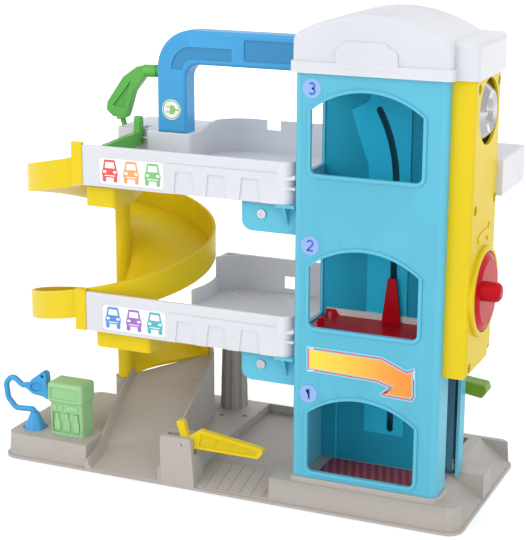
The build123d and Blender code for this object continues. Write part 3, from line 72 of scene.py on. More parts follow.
# ---- shader maths ------------------------------------------------------------------------
class Signal:
    """A shader value that can be added, scaled and compared like a number."""

    def __init__(self, book: "ShaderBook", socket: bpy.types.NodeSocket) -> None:
        """Remember the socket and the material it belongs to."""
        self.book = book
        self.socket = socket

    def _math(self, operation: str, first: Any, second: Any = None, clamp: bool = False) -> "Signal":
        """Add one Math node.

        Args:
            operation: The Math node's operation.
            first: First operand.
            second: Second operand, where there is one.
            clamp: Whether the result stays between 0 and 1.

        Returns:
            The node's value.
        """
        values = {0: first} if second is None else {0: first, 1: second}
        settings = {"operation": operation, "use_clamp": clamp}
        return self.book.node("ShaderNodeMath", settings, values)["Value"]

    def __add__(self, other: Any) -> "Signal":
        """Sum."""
        return self._math("ADD", self, other)

    def __radd__(self, other: Any) -> "Signal":
        """Sum with a number on the left."""
        return self._math("ADD", other, self)

    def __sub__(self, other: Any) -> "Signal":
        """Difference."""
        return self._math("SUBTRACT", self, other)

    def __rsub__(self, other: Any) -> "Signal":
        """Difference from a number on the left."""
        return self._math("SUBTRACT", other, self)

    def __mul__(self, other: Any) -> "Signal":
        """Product."""
        return self._math("MULTIPLY", self, other)

    def __rmul__(self, other: Any) -> "Signal":
        """Product with a number on the left."""
        return self._math("MULTIPLY", other, self)

    def __truediv__(self, other: Any) -> "Signal":
        """Quotient."""
        return self._math("DIVIDE", self, other)

    def __rtruediv__(self, other: Any) -> "Signal":
        """Quotient of a number on the left."""
        return self._math("DIVIDE", other, self)

    def __pow__(self, other: Any) -> "Signal":
        """Power."""
        return self._math("POWER", self, other)

    def __neg__(self) -> "Signal":
        """Opposite sign."""
        return self._math("MULTIPLY", self, -1.0)

    def __gt__(self, other: Any) -> "Signal":
        """1 where this is greater, else 0."""
        return self._math("GREATER_THAN", self, other)

    def __lt__(self, other: Any) -> "Signal":
        """1 where this is less, else 0."""
        return self._math("LESS_THAN", self, other)

    def sine(self) -> "Signal":
        """Sine of the value in radians."""
        return self._math("SINE", self)

    def absolute(self) -> "Signal":
        """Size without its sign."""
        return self._math("ABSOLUTE", self)

    def clamped(self) -> "Signal":
        """The value held between 0 and 1."""
        return self._math("ADD", self, 0.0, clamp=True)

    def ramp(self, low: float, high: float) -> "Signal":
        """Smooth step between two values.

        Args:
            low: Value that gives 0.
            high: Value that gives 1.

        Returns:
            A value from 0 to 1.
        """
        settings = {"interpolation_type": "SMOOTHSTEP"}
        values = {"Value": self, "From Min": low, "From Max": high}
        return self.book.node("ShaderNodeMapRange", settings, values)["Result"]


class ShaderBook:
    """One node material, written as expressions."""

    def __init__(self, name: str) -> None:
        """Start an empty material with its surface shader."""
        self.material = bpy.data.materials.new(name)
        self.material.use_nodes = True
        self.tree = self.material.node_tree
        self.tree.nodes.clear()
        self.output = self.tree.nodes.new("ShaderNodeOutputMaterial")
        self.surface = self.tree.nodes.new("ShaderNodeBsdfPrincipled")
        self.tree.links.new(self.surface.outputs["BSDF"], self.output.inputs["Surface"])
        self._place: Optional[Signal] = None

    def _feed(self, socket: bpy.types.NodeSocket, value: Any) -> None:
        """Link a signal to a socket, or set the socket to a plain value.

        Args:
            socket: The input.
            value: A signal, a number or a colour.
        """
        if isinstance(value, Signal):
            self.tree.links.new(value.socket, socket)
        elif isinstance(value, tuple) and socket.type == "RGBA" and len(value) == 3:
            socket.default_value = (*value, 1.0)
        else:
            socket.default_value = value

    def node(self, kind: str, settings: dict[str, Any],
             values: dict[Union[str, int], Any]) -> dict[Any, Signal]:
        """Add any node.

        Args:
            kind: The node's type.
            settings: Attributes to set first.
            values: Inputs by name or number.

        Returns:
            The node's outputs by name and by number.
        """
        made = self.tree.nodes.new(kind)
        for key, value in settings.items():
            setattr(made, key, value)
        for key, value in values.items():
            self._feed(made.inputs[key], value)
        outputs: dict[Any, Signal] = {}
        for index, socket in enumerate(made.outputs):
            outputs[index] = Signal(self, socket)
            if socket.enabled:
                outputs[socket.name] = outputs[index]
        return outputs

    def spot(self) -> Signal:
        """The surface point in the row's metres."""
        if self._place is None:
            self._place = self.node("ShaderNodeTexCoord", {}, {})["Object"]
        return self._place

    def axis(self, letter: str) -> Signal:
        """One coordinate of the surface point, in metres."""
        return self.node("ShaderNodeSeparateXYZ", {}, {0: self.spot()})[letter]

    def noise(self, scale: float, detail: float = 2.0, roughness: float = 0.5) -> Signal:
        """Soft noise over the object.

        Args:
            scale: Spots to the metre.
            detail: Octaves.
            roughness: Strength of the finer octaves.

        Returns:
            A value around 0.5.
        """
        values = {"Vector": self.spot(), "Scale": scale, "Detail": detail, "Roughness": roughness}
        return self.node("ShaderNodeTexNoise", {}, values)["Fac"]

    def mix(self, first: Any, second: Any, factor: Any) -> Signal:
        """Mix two colours.

        Args:
            first: Colour at factor 0.
            second: Colour at factor 1.
            factor: Share of the second colour.

        Returns:
            The mixed colour.
        """
        return self.node("ShaderNodeMix", {"data_type": "RGBA"}, {0: factor, 6: first, 7: second})[2]

    def facing(self, letter: str) -> Signal:
        """How far the surface faces along an axis, from -1 to 1."""
        normal = self.node("ShaderNodeNewGeometry", {}, {})["Normal"]
        return self.node("ShaderNodeSeparateXYZ", {}, {0: normal})[letter]

    def seen(self) -> Signal:
        """1 for camera, gloss and glass rays, else 0."""
        path = self.node("ShaderNodeLightPath", {}, {})
        return (path["Is Camera Ray"] + path["Is Glossy Ray"] + path["Is Transmission Ray"]).clamped()

    def edges(self) -> Signal:
        """Convexity of the surface: above 0.5 on outer edges, below in corners."""
        return self.node("ShaderNodeNewGeometry", {}, {})["Pointiness"]

    def bump(self, height: Signal, strength: float, depth: float) -> Signal:
        """Bump from a height.

        Args:
            height: The height signal.
            strength: Share of the bump that shows.
            depth: Depth of one unit of height, in metres.

        Returns:
            The bent normal.
        """
        values = {"Height": height, "Strength": strength, "Distance": depth}
        return self.node("ShaderNodeBump", {}, values)["Normal"]

    def set(self, **sockets: Any) -> "ShaderBook":
        """Feed the surface shader's sockets, whose names are given with underscores."""
        for name, value in sockets.items():
            self._feed(self.surface.inputs[name.replace("_", " ")], value)
        return self


# ---- finishes ----------------------------------------------------------------------------
@dataclass(frozen=True)
class Moulding:
    """Injection-moulded plastic: even colour, faint flow marks, soft grain, a painted highlight on outer
    edges, painted shade in inner corners and an optional band of painted light.
    """

    name: str
    colour: Colour
    roughness: float = 0.32
    mottle: float = 0.05
    grain: float = 0.00002
    grain_scale: float = 2600.0
    # Share of the painted highlight on outer edges.
    edge_highlight_share: float = 0.22
    # Share of the painted shade in inner corners.
    corner_shade_share: float = 0.25
    gloss: float = 0.24
    glow: float = 0.0
    # Depths of a band of front-facing faces that get painted light, and the factor their colour is scaled
    # by.
    painted_band: tuple[float, float] = (0.0, 0.0)
    painted_band_tone: float = 1.0

    def material(self) -> bpy.types.Material:
        """Write the finish as nodes.

        Returns:
            The material.
        """
        book = ShaderBook(self.name)
        flow = book.noise(9.0, 3.0).ramp(0.3, 0.7)
        cloud = book.noise(46.0, 4.0)
        # Painted highlight: outer edges, found by pointiness and patchy with the cloud noise, lighten
        # towards a brighter copy of the colour.
        edge_highlight = book.edges().ramp(0.53, 0.62) * (0.55 + 0.45 * cloud)
        # Painted shade: inner corners, found by pointiness, darken.
        corner = 1 - book.edges().ramp(0.40, 0.49)
        light = tuple(min(1.0, c * 1.18 + 0.03) for c in self.colour)
        deep = tuple(c * (1 - self.mottle * 2.2) for c in self.colour)
        tone = book.mix(self.colour, deep, flow * 0.5 + cloud * 0.4)
        # Mix in the painted highlight on the edges.
        tone = book.mix(tone, light, edge_highlight * self.edge_highlight_share)
        # Mix in the painted shade in the corners.
        tone = book.mix(tone, tuple(c * 0.62 for c in self.colour), corner * self.corner_shade_share)
        scuff = book.noise(210.0, 5.0, 0.65).ramp(0.52, 0.72)
        skin = book.noise(self.grain_scale, 2.0)
        sink = book.noise(30.0, 1.0)
        normal = book.bump(skin * 0.6 + sink * 3.0, 0.55, self.grain * 10)
        book.set(Base_Color=tone, Roughness=self.roughness + 0.07 * scuff + 0.04 * flow, Normal=normal,
                 IOR=1.5, Specular_IOR_Level=self.gloss)
        # Painted light: front-facing faces within one depth band take the colour scaled by the band tone;
        # above 1 it is a painted highlight, below 1 painted shade.
        if self.painted_band_tone != 1.0:
            depth = book.axis("Y")
            painted_band_mask = (depth > self.painted_band[0]) * (depth < self.painted_band[1]) * (book.facing("Y") < -0.95)
            painted_band_colour = tuple(min(1, c * self.painted_band_tone) for c in self.colour)
            book.set(Base_Color=book.mix(tone, painted_band_colour, painted_band_mask))
        if self.glow:
            book.set(Subsurface_Weight=self.glow, Subsurface_Radius=(0.004, 0.003, 0.001))
        return book.material


@dataclass(frozen=True)
class Textured:
    """Satin grey plastic with a fine spark-eroded grain, painted shade in its corners and a painted
    highlight on its edges.
    """

    name: str
    colour: Colour
    roughness: float = 0.52

    def material(self) -> bpy.types.Material:
        """Write the finish as nodes.

        Returns:
            The material.
        """
        book = ShaderBook(self.name)
        grain = book.noise(3400.0, 2.0)
        cloud = book.noise(28.0, 4.0)
        # Painted shade: inner corners, found by pointiness, darken.
        corner = 1 - book.edges().ramp(0.42, 0.49)
        # Painted highlight: outer edges, found by pointiness, lighten.
        edge_highlight = book.edges().ramp(0.53, 0.60)
        tone = book.mix(self.colour, tuple(c * 0.90 for c in self.colour), cloud * 0.6 + grain * 0.35)
        # Mix in the painted shade in the corners.
        tone = book.mix(tone, tuple(c * 0.66 for c in self.colour), corner * 0.45)
        # Mix in the painted highlight on the edges.
        tone = book.mix(tone, tuple(min(1, c * 1.2) for c in self.colour), edge_highlight * 0.35)
        normal = book.bump(grain + cloud * 0.5, 0.5, 0.00012)
        book.set(Base_Color=tone, Roughness=self.roughness + 0.1 * (cloud - 0.5), Normal=normal, IOR=1.48)
        return book.material


@dataclass(frozen=True)
class Metal:
    """Plated or turned metal with fine scratches."""

    name: str
    colour: Colour
    roughness: float
    scratch: float = 0.05

    def material(self) -> bpy.types.Material:
        """Write the finish as nodes.

        Returns:
            The material.
        """
        book = ShaderBook(self.name)
        cloud = book.noise(60.0, 3.0)
        hairs = book.noise(1500.0, 3.0, 0.7)
        tone = book.mix(self.colour, tuple(c * 0.82 for c in self.colour), cloud * 0.5)
        normal = book.bump(hairs, 0.3, 0.00003)
        rough = self.roughness + self.scratch * hairs
        book.set(Base_Color=tone, Metallic=1.0, Roughness=rough, Normal=normal)
        return book.material


@dataclass(frozen=True)
class Rubber:
    """Dull belt rubber with fine teeth and faint moulding dust."""

    name: str
    colour: Colour

    def material(self) -> bpy.types.Material:
        """Write the finish as nodes.

        Returns:
            The material.
        """
        book = ShaderBook(self.name)
        dust = book.noise(90.0, 4.0)
        teeth = (book.axis("Z") * 2400.0).sine()
        tone = book.mix(self.colour, (0.10, 0.10, 0.10), dust * 0.5)
        book.set(Base_Color=tone, Roughness=0.72 + 0.1 * dust, Normal=book.bump(teeth + dust, 0.6, 0.0002))
        return book.material


@dataclass(frozen=True)
class Striped:
    """Printed floor film with slanting stripes."""

    name: str
    ground: Colour
    stripe: Colour
    pitch: float = 0.0062

    def material(self) -> bpy.types.Material:
        """Write the finish as nodes.

        Returns:
            The material.
        """
        book = ShaderBook(self.name)
        slant = book.axis("X") + book.axis("Y") * 0.35
        wave = (slant * (2 * math.pi / self.pitch)).sine().ramp(0.1, 0.3)
        speck = book.noise(500.0, 3.0)
        tone = book.mix(self.ground, self.stripe, wave * 0.8)
        tone = book.mix(tone, (0.12, 0.02, 0.03), speck.ramp(0.5, 0.8) * 0.2)
        book.set(Base_Color=tone, Roughness=0.42 + 0.1 * speck, Specular_IOR_Level=0.3)
        return book.material


@dataclass(frozen=True)
class Print:
    """Printed film with a light gloss and a soft fade along one axis."""

    name: str
    start: Colour
    end: Colour
    letter: str = "X"
    low: float = 0.0
    high: float = 1.0
    roughness: float = 0.28

    def material(self) -> bpy.types.Material:
        """Write the finish as nodes.

        Returns:
            The material.
        """
        book = ShaderBook(self.name)
        fade = book.axis(self.letter).ramp(self.low, self.high)
        speck = book.noise(700.0, 3.0)
        tone = book.mix(self.start, self.end, fade)
        tone = book.mix(tone, tuple(c * 0.85 for c in self.start), speck.ramp(0.55, 0.75) * 0.25)
        book.set(Base_Color=tone, Roughness=self.roughness + 0.08 * speck, Coat_Weight=0.25,
                 Normal=book.bump(speck, 0.2, 0.00003))
        return book.material


class Finish(Enum):
    """Every finish on the garage."""

    SKY = Moulding("sky_blue", (0.112, 0.480, 0.630), 0.32)
    # Painted shade: the shaft panel's darker teal is the sky blue plastic darkened for the shade inside the
    # shaft; its band lightens the raised cam track's faces 1.5 times as a painted highlight.
    TEAL = Moulding("shaft_blue", (0.018, 0.350, 0.510), 0.42, gloss=0.1,
                    painted_band=(-0.0225, -0.0207), painted_band_tone=1.5)
    # Painted shade: front-facing faces at the handle's recess depth are darkened to 0.72 for the shade in
    # the recess bands.
    BLUE = Moulding("handle_blue", (0.055, 0.345, 0.660), 0.30, painted_band=(-0.0148, -0.0136), painted_band_tone=0.72)
    WHITE = Moulding("deck_white", (0.690, 0.690, 0.725), 0.34, corner_shade_share=0.12)
    GREY = Textured("base_grey", (0.440, 0.395, 0.360))
    YELLOW = Moulding("ramp_yellow", (0.760, 0.560, 0.012), 0.32, gloss=0.12, glow=0.06)
    RED = Moulding("lift_red", (0.500, 0.002, 0.010), 0.30, gloss=0.12, grain=0.000007)
    GREEN = Moulding("leaf_green", (0.105, 0.420, 0.070), 0.30)
    PUMP = Moulding("pump_green", (0.330, 0.600, 0.290), 0.34)
    LEVER = Moulding("lever_green", (0.160, 0.300, 0.010), 0.34)
    NYLON = Moulding("gear_nylon", (0.700, 0.690, 0.640), 0.40)
    STEEL = Metal("screw_steel", (0.52, 0.52, 0.54), 0.28)
    CHROME = Metal("bell_plate", (0.42, 0.42, 0.44), 0.14, 0.03)
    RUBBER = Rubber("belt_blue", (0.020, 0.160, 0.240))
    DISC = Print("disc_lavender", (0.250, 0.400, 0.760), (0.330, 0.520, 0.850))
    DIGIT = Print("digit_blue", (0.030, 0.110, 0.500), (0.030, 0.150, 0.560))
    MAT = Striped("mat_red", (0.300, 0.036, 0.050), (0.420, 0.120, 0.150))
    FILM = Print("film_white", (0.850, 0.850, 0.860), (0.880, 0.880, 0.880))
    GROUND = Print("arrow_ground", (0.190, 0.600, 0.760), (0.170, 0.560, 0.740))
    BORDER = Print("arrow_border", (0.720, 0.060, 0.030), (0.660, 0.040, 0.025), "X", 0.07, 0.15)
    ARROW = Print("arrow_fill", (0.900, 0.640, 0.040), (0.860, 0.250, 0.020), "X", 0.07, 0.15)
    SIGN = Print("sign_green", (0.230, 0.480, 0.130), (0.260, 0.520, 0.150))
    CAR_RED = Print("car_red", (0.680, 0.060, 0.060), (0.620, 0.050, 0.050))
    CAR_ORANGE = Print("car_orange", (0.820, 0.330, 0.090), (0.780, 0.300, 0.080))
    CAR_GREEN = Print("car_green", (0.180, 0.470, 0.150), (0.200, 0.500, 0.170))
    CAR_BLUE = Print("car_blue", (0.060, 0.250, 0.640), (0.070, 0.280, 0.680))
    CAR_PURPLE = Print("car_purple", (0.330, 0.120, 0.480), (0.360, 0.140, 0.520))
    CAR_TEAL = Print("car_teal", (0.050, 0.430, 0.440), (0.060, 0.460, 0.470))


class Wardrobe:
    """Makes each finish once and puts it on pieces."""

    def __init__(self, nodes: dict[str, bpy.types.Object]) -> None:
        """Keep the frame's nodes."""
        self.nodes = nodes
        self._made: dict[Any, bpy.types.Material] = {}

    def get(self, finish: Any) -> bpy.types.Material:
        """The material of a finish, made on first use."""
        recipe = finish.value if isinstance(finish, Finish) else finish
        if recipe not in self._made:
            self._made[recipe] = recipe.material()
        return self._made[recipe]

    def dress(self, finish: Any, *names: str) -> None:
        """Put a finish on CAD nodes.

        Args:
            finish: A finish.
            names: The nodes.
        """
        for name in names:
            self.cover(self.nodes[name], finish)

    def cover(self, piece: bpy.types.Object, finish: Any) -> None:
        """Put a finish on one object, in every slot."""
        material = self.get(finish)
        if not piece.material_slots:
            piece.data.materials.append(material)
        for slot in piece.material_slots:
            slot.material = material


# ---- mesh making -------------------------------------------------------------------------
class Stencil:
    """Cuts thin shaped pieces out of outlines and seats them on a face."""

    def __init__(self, name: str, plane: Matrix) -> None:
        """Start a piece.

        Args:
            name: The object's name.
            plane: Placement of the drawing's x, y and outward direction.
        """
        self.name = name
        self.plane = plane
        self.mesh = bmesh.new()

    def fill(self, outline: Outline, low: float, high: float, slope: float = 0.0) -> "Stencil":
        """Add a plate with a bevelled upper edge.

        Args:
            outline: Points in millimetres, counter-clockwise.
            low: Height of its underside, in millimetres.
            high: Height of its face, in millimetres.
            slope: How far the face is drawn in, in millimetres.

        Returns:
            The stencil.
        """
        count = len(outline)
        middle = Vector((sum(p[0] for p in outline) / count, sum(p[1] for p in outline) / count))
        rings = []
        for height, shrink in ((low, 0.0), (high - slope * 0.5, 0.0), (high, slope)):
            ring = []
            for x, y in outline:
                inward = (middle - Vector((x, y)))
                inward = inward.normalized() * shrink if inward.length > 0 else inward
                ring.append(self.mesh.verts.new(self.plane @ Vector((x + inward.x, y + inward.y, height))))
            rings.append(ring)
        for lower, upper in zip(rings, rings[1:]):
            for i in range(count):
                j = (i + 1) % count
                self.mesh.faces.new((lower[i], lower[j], upper[j], upper[i]))
        self.mesh.faces.new(rings[-1])
        self.mesh.faces.new(rings[0][::-1])
        return self

    def done(self, body: str) -> bpy.types.Object:
        """Finish the mesh and let it ride on a body.

        Args:
            body: The CAD body.

        Returns:
            The object.
        """
        bmesh.ops.recalc_face_normals(self.mesh, faces=self.mesh.faces)
        data = bpy.data.meshes.new(self.name)
        self.mesh.to_mesh(data)
        self.mesh.free()
        piece = bpy.data.objects.new(self.name, data)
        bpy.context.scene.collection.objects.link(piece)
        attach(piece, body)
        return piece


def facing_front(x: float, y: float, z: float) -> Matrix:
    """Drawing plane on a front face: x to the right, y up, out towards the front.

    Args:
        x: Place of the drawing's origin, in tower millimetres.
        y: Depth of the face.
        z: Height.

    Returns:
        The placement, which takes millimetres.
    """
    turn = Matrix(((1, 0, 0), (0, 0, -1), (0, 1, 0))).to_4x4()
    return Matrix.Translation(place(x, y, z)) @ turn @ Matrix.Scale(MILLI, 4)


def rounded_rectangle(x: float, y: float, width: float, height: float, radius: float) -> list[Point]:
    """Outline of a rectangle with round corners.

    Args:
        x: Middle.
        y: Middle.
        width: Width.
        height: Height.
        radius: Corner radius.

    Returns:
        Points, counter-clockwise.
    """
    points = []
    for corner, (sx, sy) in enumerate(((1, 1), (-1, 1), (-1, -1), (1, -1))):
        cx = x + sx * (width / 2 - radius)
        cy = y + sy * (height / 2 - radius)
        for step in range(6):
            angle = math.pi / 2 * (corner + step / 5)
            points.append((cx + radius * math.cos(angle), cy + radius * math.sin(angle)))
    return points


def stroke(points: Outline, width: float) -> list[Point]:
    """Outline of an open line drawn with an even width.

    Args:
        points: The line's points.
        width: Its width.

    Returns:
        Points round the stroke.
    """
    left, right = [], []
    for i, point in enumerate(points):
        before = Vector(points[max(i - 1, 0)])
        after = Vector(points[min(i + 1, len(points) - 1)])
        along = (after - before).normalized() * width / 2
        left.append((point[0] - along.y, point[1] + along.x))
        right.append((point[0] + along.y, point[1] - along.x))
    return right + left[::-1]


def arc(x: float, y: float, radius: float, start: float, end: float, steps: int = 14) -> list[Point]:
    """Points along an arc.

    Args:
        x: Middle.
        y: Middle.
        radius: Radius.
        start: First angle in degrees.
        end: Last angle in degrees.
        steps: Parts of the arc.

    Returns:
        The points.
    """
    angles = [math.radians(start + (end - start) * i / steps) for i in range(steps + 1)]
    return [(x + radius * math.cos(a), y + radius * math.sin(a)) for a in angles]


def drawn_in(outline: Outline, distance: float) -> list[Point]:
    """Outline moved inwards by an even distance.

    Args:
        outline: Points, clockwise.
        distance: How far, in millimetres.

    Returns:
        The smaller outline.
    """
    count = len(outline)
    moved = []
    for i in range(count):
        here = Vector(outline[i])
        first = (here - Vector(outline[i - 1])).normalized()
        second = (Vector(outline[(i + 1) % count]) - here).normalized()
        first_in = Vector((first.y, -first.x))
        second_in = Vector((second.y, -second.x))
        middle = (first_in + second_in).normalized()
        spot = here + middle * distance / max(0.45, middle.dot(first_in))
        moved.append((spot.x, spot.y))
    return moved


# ---- sub-assemblies ----------------------------------------------------------------------
@dataclass
class Base:
    """Grey base with its slide, column and lift floor label."""

    def dress(self, wardrobe: Wardrobe) -> None:
        """Put on the grey plastic and the floor label.

        Args:
            wardrobe: The finishes.
        """
        wardrobe.dress(Finish.GREY, "base_plate", "exit_chute", "support_column")
        wardrobe.dress(Finish.MAT, "floor_mat")
        LOG.info("base dressed")


@dataclass
class Forecourt:
    """Fuel pump with its swivelling nozzle, and the entrance barrier."""

    def dress(self, wardrobe: Wardrobe) -> None:
        """Put on the pump's, nozzle's and barrier's plastics.

        Args:
            wardrobe: The finishes.
        """
        wardrobe.dress(Finish.PUMP, "fuel_pump")
        wardrobe.dress(Finish.BLUE, "pump_nozzle")
        wardrobe.dress(Finish.YELLOW, "barrier_arm")
        wardrobe.dress(Finish.STEEL, "barrier_pin")
        LOG.info("forecourt dressed")


@dataclass
class SpiralRamp:
    """Yellow spiral ramp with its brackets and clips."""

    def dress(self, wardrobe: Wardrobe) -> None:
        """Put on the yellow plastic.

        Args:
            wardrobe: The finishes.
        """
        wardrobe.dress(Finish.YELLOW, "ramp_top", "ramp_middle", "ramp_bottom", "ramp_bracket_lower",
                       "ramp_bracket_upper", "ramp_clip_lower", "ramp_clip_upper")
        LOG.info("spiral ramp dressed")


@dataclass
class Decks:
    """White decks with plain car signs on the front walls."""

    sign_x: tuple[float, ...] = (-150.0, -132.0, -114.0)
    sign_z: float = 127.0
    storey: float = 115.0
    panel_face: float = 2.05
    ink: float = 0.03

    def car_sign(self, name: str, x: float, z: float, finish: Finish, wardrobe: Wardrobe) -> None:
        """Print one plain car seen from the front.

        Args:
            name: The piece's name.
            x: Its middle.
            z: Its middle.
            finish: The ink.
            wardrobe: The finishes.
        """
        plane = facing_front(x, self.panel_face, z)
        shape = Stencil(name, plane)
        shape.fill([(-6.0, 1.0), (6.0, 1.0), (4.6, 8.2), (3.8, 8.8), (-3.8, 8.8), (-4.6, 8.2)], 0, self.ink)
        shape.fill(rounded_rectangle(0, -1.4, 13.4, 6.6, 2.2), 0, self.ink + 0.01)
        for side in (-1, 1):
            shape.fill(rounded_rectangle(side * 4.7, -5.9, 3.0, 4.6, 1.2), 0, self.ink + 0.02)
        wardrobe.cover(shape.done(ROOT), finish)
        window = Stencil(name + "_white", plane)
        window.fill([(-4.2, 2.4), (4.2, 2.4), (3.5, 7.0), (-3.5, 7.0)], self.ink, self.ink + 0.04)
        for side in (-1, 1):
            window.fill(rounded_rectangle(side * 4.3, -0.4, 3.0, 1.9, 0.8), self.ink, self.ink + 0.04)
        window.fill(rounded_rectangle(0, -3.3, 9.0, 0.7, 0.3), self.ink, self.ink + 0.05)
        wardrobe.cover(window.done(ROOT), Finish.FILM)

    def dress(self, wardrobe: Wardrobe) -> None:
        """Put on the white plastic and the labels.

        Args:
            wardrobe: The finishes.
        """
        wardrobe.dress(Finish.WHITE, "mid_deck", "upper_deck", "rear_deck", "rear_deck_lid")
        wardrobe.dress(Finish.FILM, "icon_panel_mid", "icon_panel_upper")
        rows = ((Finish.CAR_BLUE, Finish.CAR_PURPLE, Finish.CAR_TEAL),
                (Finish.CAR_RED, Finish.CAR_ORANGE, Finish.CAR_GREEN))
        for level, inks in enumerate(rows):
            for x, finish in zip(self.sign_x, inks):
                name = "sign_" + finish.name.lower()
                self.car_sign(name, x, self.sign_z + level * self.storey, finish, wardrobe)
        LOG.info("decks dressed")


@dataclass
class Handle:
    """Blue carrying handle with its charging sign, arm and the exit gate."""

    sign: tuple[float, float, float] = (-127.25, 60.05, 281.5)
    ring_radius: float = 6.9

    def plug_sign(self, wardrobe: Wardrobe) -> None:
        """Print the ring and the plug on the round sign.

        Args:
            wardrobe: The finishes.
        """
        shape = Stencil("plug_sign", facing_front(*self.sign))
        ring = arc(0, 0, self.ring_radius, 6, 354, 48)
        shape.fill(stroke(ring, 0.95), 0.0, 0.04)
        for y in (-1.9, 1.9):
            shape.fill(rounded_rectangle(-2.8, y, 3.6, 0.9, 0.3), 0.0, 0.04)
        body = [(-1.2, -3.6)] + arc(0.0, 0, 3.6, -80, 80, 12) + [(-1.2, 3.6)]
        shape.fill(body, 0.0, 0.05)
        shape.fill(rounded_rectangle(4.9, 0, 3.8, 1.1, 0.3), 0.0, 0.045)
        wardrobe.cover(shape.done(ROOT), Finish.SIGN)

    def dress(self, wardrobe: Wardrobe) -> None:
        """Put on the plastics and the sign.

        Args:
            wardrobe: The finishes.
        """
        wardrobe.dress(Finish.BLUE, "handle_front", "handle_back")
        wardrobe.dress(Finish.FILM, "handle_sign")
        wardrobe.dress(Finish.GREEN, "charging_arm", "exit_gate")
        wardrobe.dress(Finish.STEEL, "exit_gate_pin")
        self.plug_sign(wardrobe)
        LOG.info("handle dressed")


@dataclass
class Tower:
    """Sky blue lift tower with its roof, numbers and arrow label."""

    disc_x: float = 13.0
    disc_heights: tuple[float, ...] = (90.2, 202.2, 315.1)
    label_face: float = -0.42
    arrow: tuple[tuple[float, float], ...] = (
        (11.0, 127.2), (69.4, 126.6), (88.4, 118.9), (94.3, 122.4), (95.4, 99.6), (92.9, 95.4),
        (69.8, 96.2), (67.8, 98.6), (73.5, 103.7), (65.7, 106.1), (16.0, 107.6), (11.2, 106.9))

    def digit(self, number: int) -> list[list[Point]]:
        """Lines of a digit, about 8 mm high, round its middle.

        Args:
            number: 1, 2 or 3.

        Returns:
            The lines.
        """
        if number == 1:
            return [[(-1.6, 2.2), (0.6, 4.0), (0.6, -4.0)]]
        if number == 2:
            bow = arc(0, 1.8, 2.1, 165, -35)
            return [bow + [(-2.1, -3.5)], [(-2.4, -3.5), (2.4, -3.5)]]
        return [arc(0, 1.9, 1.9, 150, -90), arc(0, -1.9, 2.1, 90, -150)]

    def labels(self, wardrobe: Wardrobe) -> None:
        """Print the numbers and the arrow.

        Args:
            wardrobe: The finishes.
        """
        for index, height in enumerate(self.disc_heights):
            number = Stencil(f"number_{index + 1}", facing_front(self.disc_x, self.label_face, height))
            for line in self.digit(index + 1):
                number.fill(stroke(line, 1.5), 0.0, 0.04)
            wardrobe.cover(number.done(ROOT), Finish.DIGIT)
        layers = (("arrow_line", 1.1, Finish.BORDER), ("arrow_gap", 2.1, Finish.GROUND),
                  ("arrow_fill", 2.9, Finish.ARROW))
        for index, (name, inset, finish) in enumerate(layers):
            layer = Stencil(name, facing_front(0, self.label_face, 0))
            layer.fill(drawn_in(self.arrow, inset), 0.0, 0.02 * (index + 1))
            wardrobe.cover(layer.done(ROOT), finish)
        glints = Stencil("arrow_glints", facing_front(0, self.label_face, 0))
        for start, end in (((12.6, 125.6), (17.0, 125.5)), ((12.8, 108.4), (17.2, 108.9)),
                           ((93.2, 119.6), (93.6, 113.0))):
            glints.fill(stroke([start, end], 0.7), 0.0, 0.07)
        wardrobe.cover(glints.done(ROOT), Finish.FILM)

    def dress(self, wardrobe: Wardrobe) -> None:
        """Put on the plastics and the labels.

        Args:
            wardrobe: The finishes.
        """
        wardrobe.dress(Finish.SKY, "tower_front", "tower_back", "wing_bracket_lower", "wing_bracket_upper")
        # The shaft panel wears the sky blue darkened as painted shade, with a painted highlight on its
        # raised cam track.
        wardrobe.dress(Finish.TEAL, "shaft_panel")
        wardrobe.dress(Finish.WHITE, "roof_cap")
        wardrobe.dress(Finish.STEEL, "wing_screws")
        wardrobe.dress(Finish.DISC, "number_discs")
        wardrobe.dress(Finish.GROUND, "arrow_sticker")
        self.labels(wardrobe)
        LOG.info("tower dressed")


@dataclass
class Drive:
    """Yellow housing with the bell, the crank, its gears, the belt and the lift."""

    def dress(self, wardrobe: Wardrobe) -> None:
        """Put on the plastics and metals.

        Args:
            wardrobe: The finishes.
        """
        wardrobe.dress(Finish.YELLOW, "gear_housing")
        wardrobe.dress(Finish.RED, "crank_handle", "lift_platform")
        wardrobe.dress(Finish.CHROME, "bell_dome")
        wardrobe.dress(Finish.STEEL, "housing_screws", "bell_screw", "bell_striker", "striker_pin",
                       "crank_shaft", "idler_pins", "platform_pin", "back_lever_pin")
        wardrobe.dress(Finish.NYLON, "crank_gear", "drive_pinion", "belt_idler_bottom", "belt_idler_top",
                       "bell_post", "lift_carriage")
        wardrobe.dress(Finish.RUBBER, "lift_belt")
        wardrobe.dress(Finish.LEVER, "back_lever")
        LOG.info("drive dressed")


@dataclass(frozen=True)
class Lamp:
    """One soft square lamp: its place in metres, the height it points at, its width and its watts."""

    name: str
    spot: tuple[float, float, float]
    aim_height: float
    size: float
    power: float

    def hang(self) -> None:
        """Hang the lamp and point it at the garage."""
        data = bpy.data.lights.new(self.name, "AREA")
        data.size = self.size
        data.energy = self.power
        lamp = bpy.data.objects.new(self.name, data)
        bpy.context.scene.collection.objects.link(lamp)
        lamp.location = self.spot
        way = Vector((0, 0, self.aim_height)) - Vector(self.spot)
        lamp.rotation_euler = way.to_track_quat("-Z", "Y").to_euler()


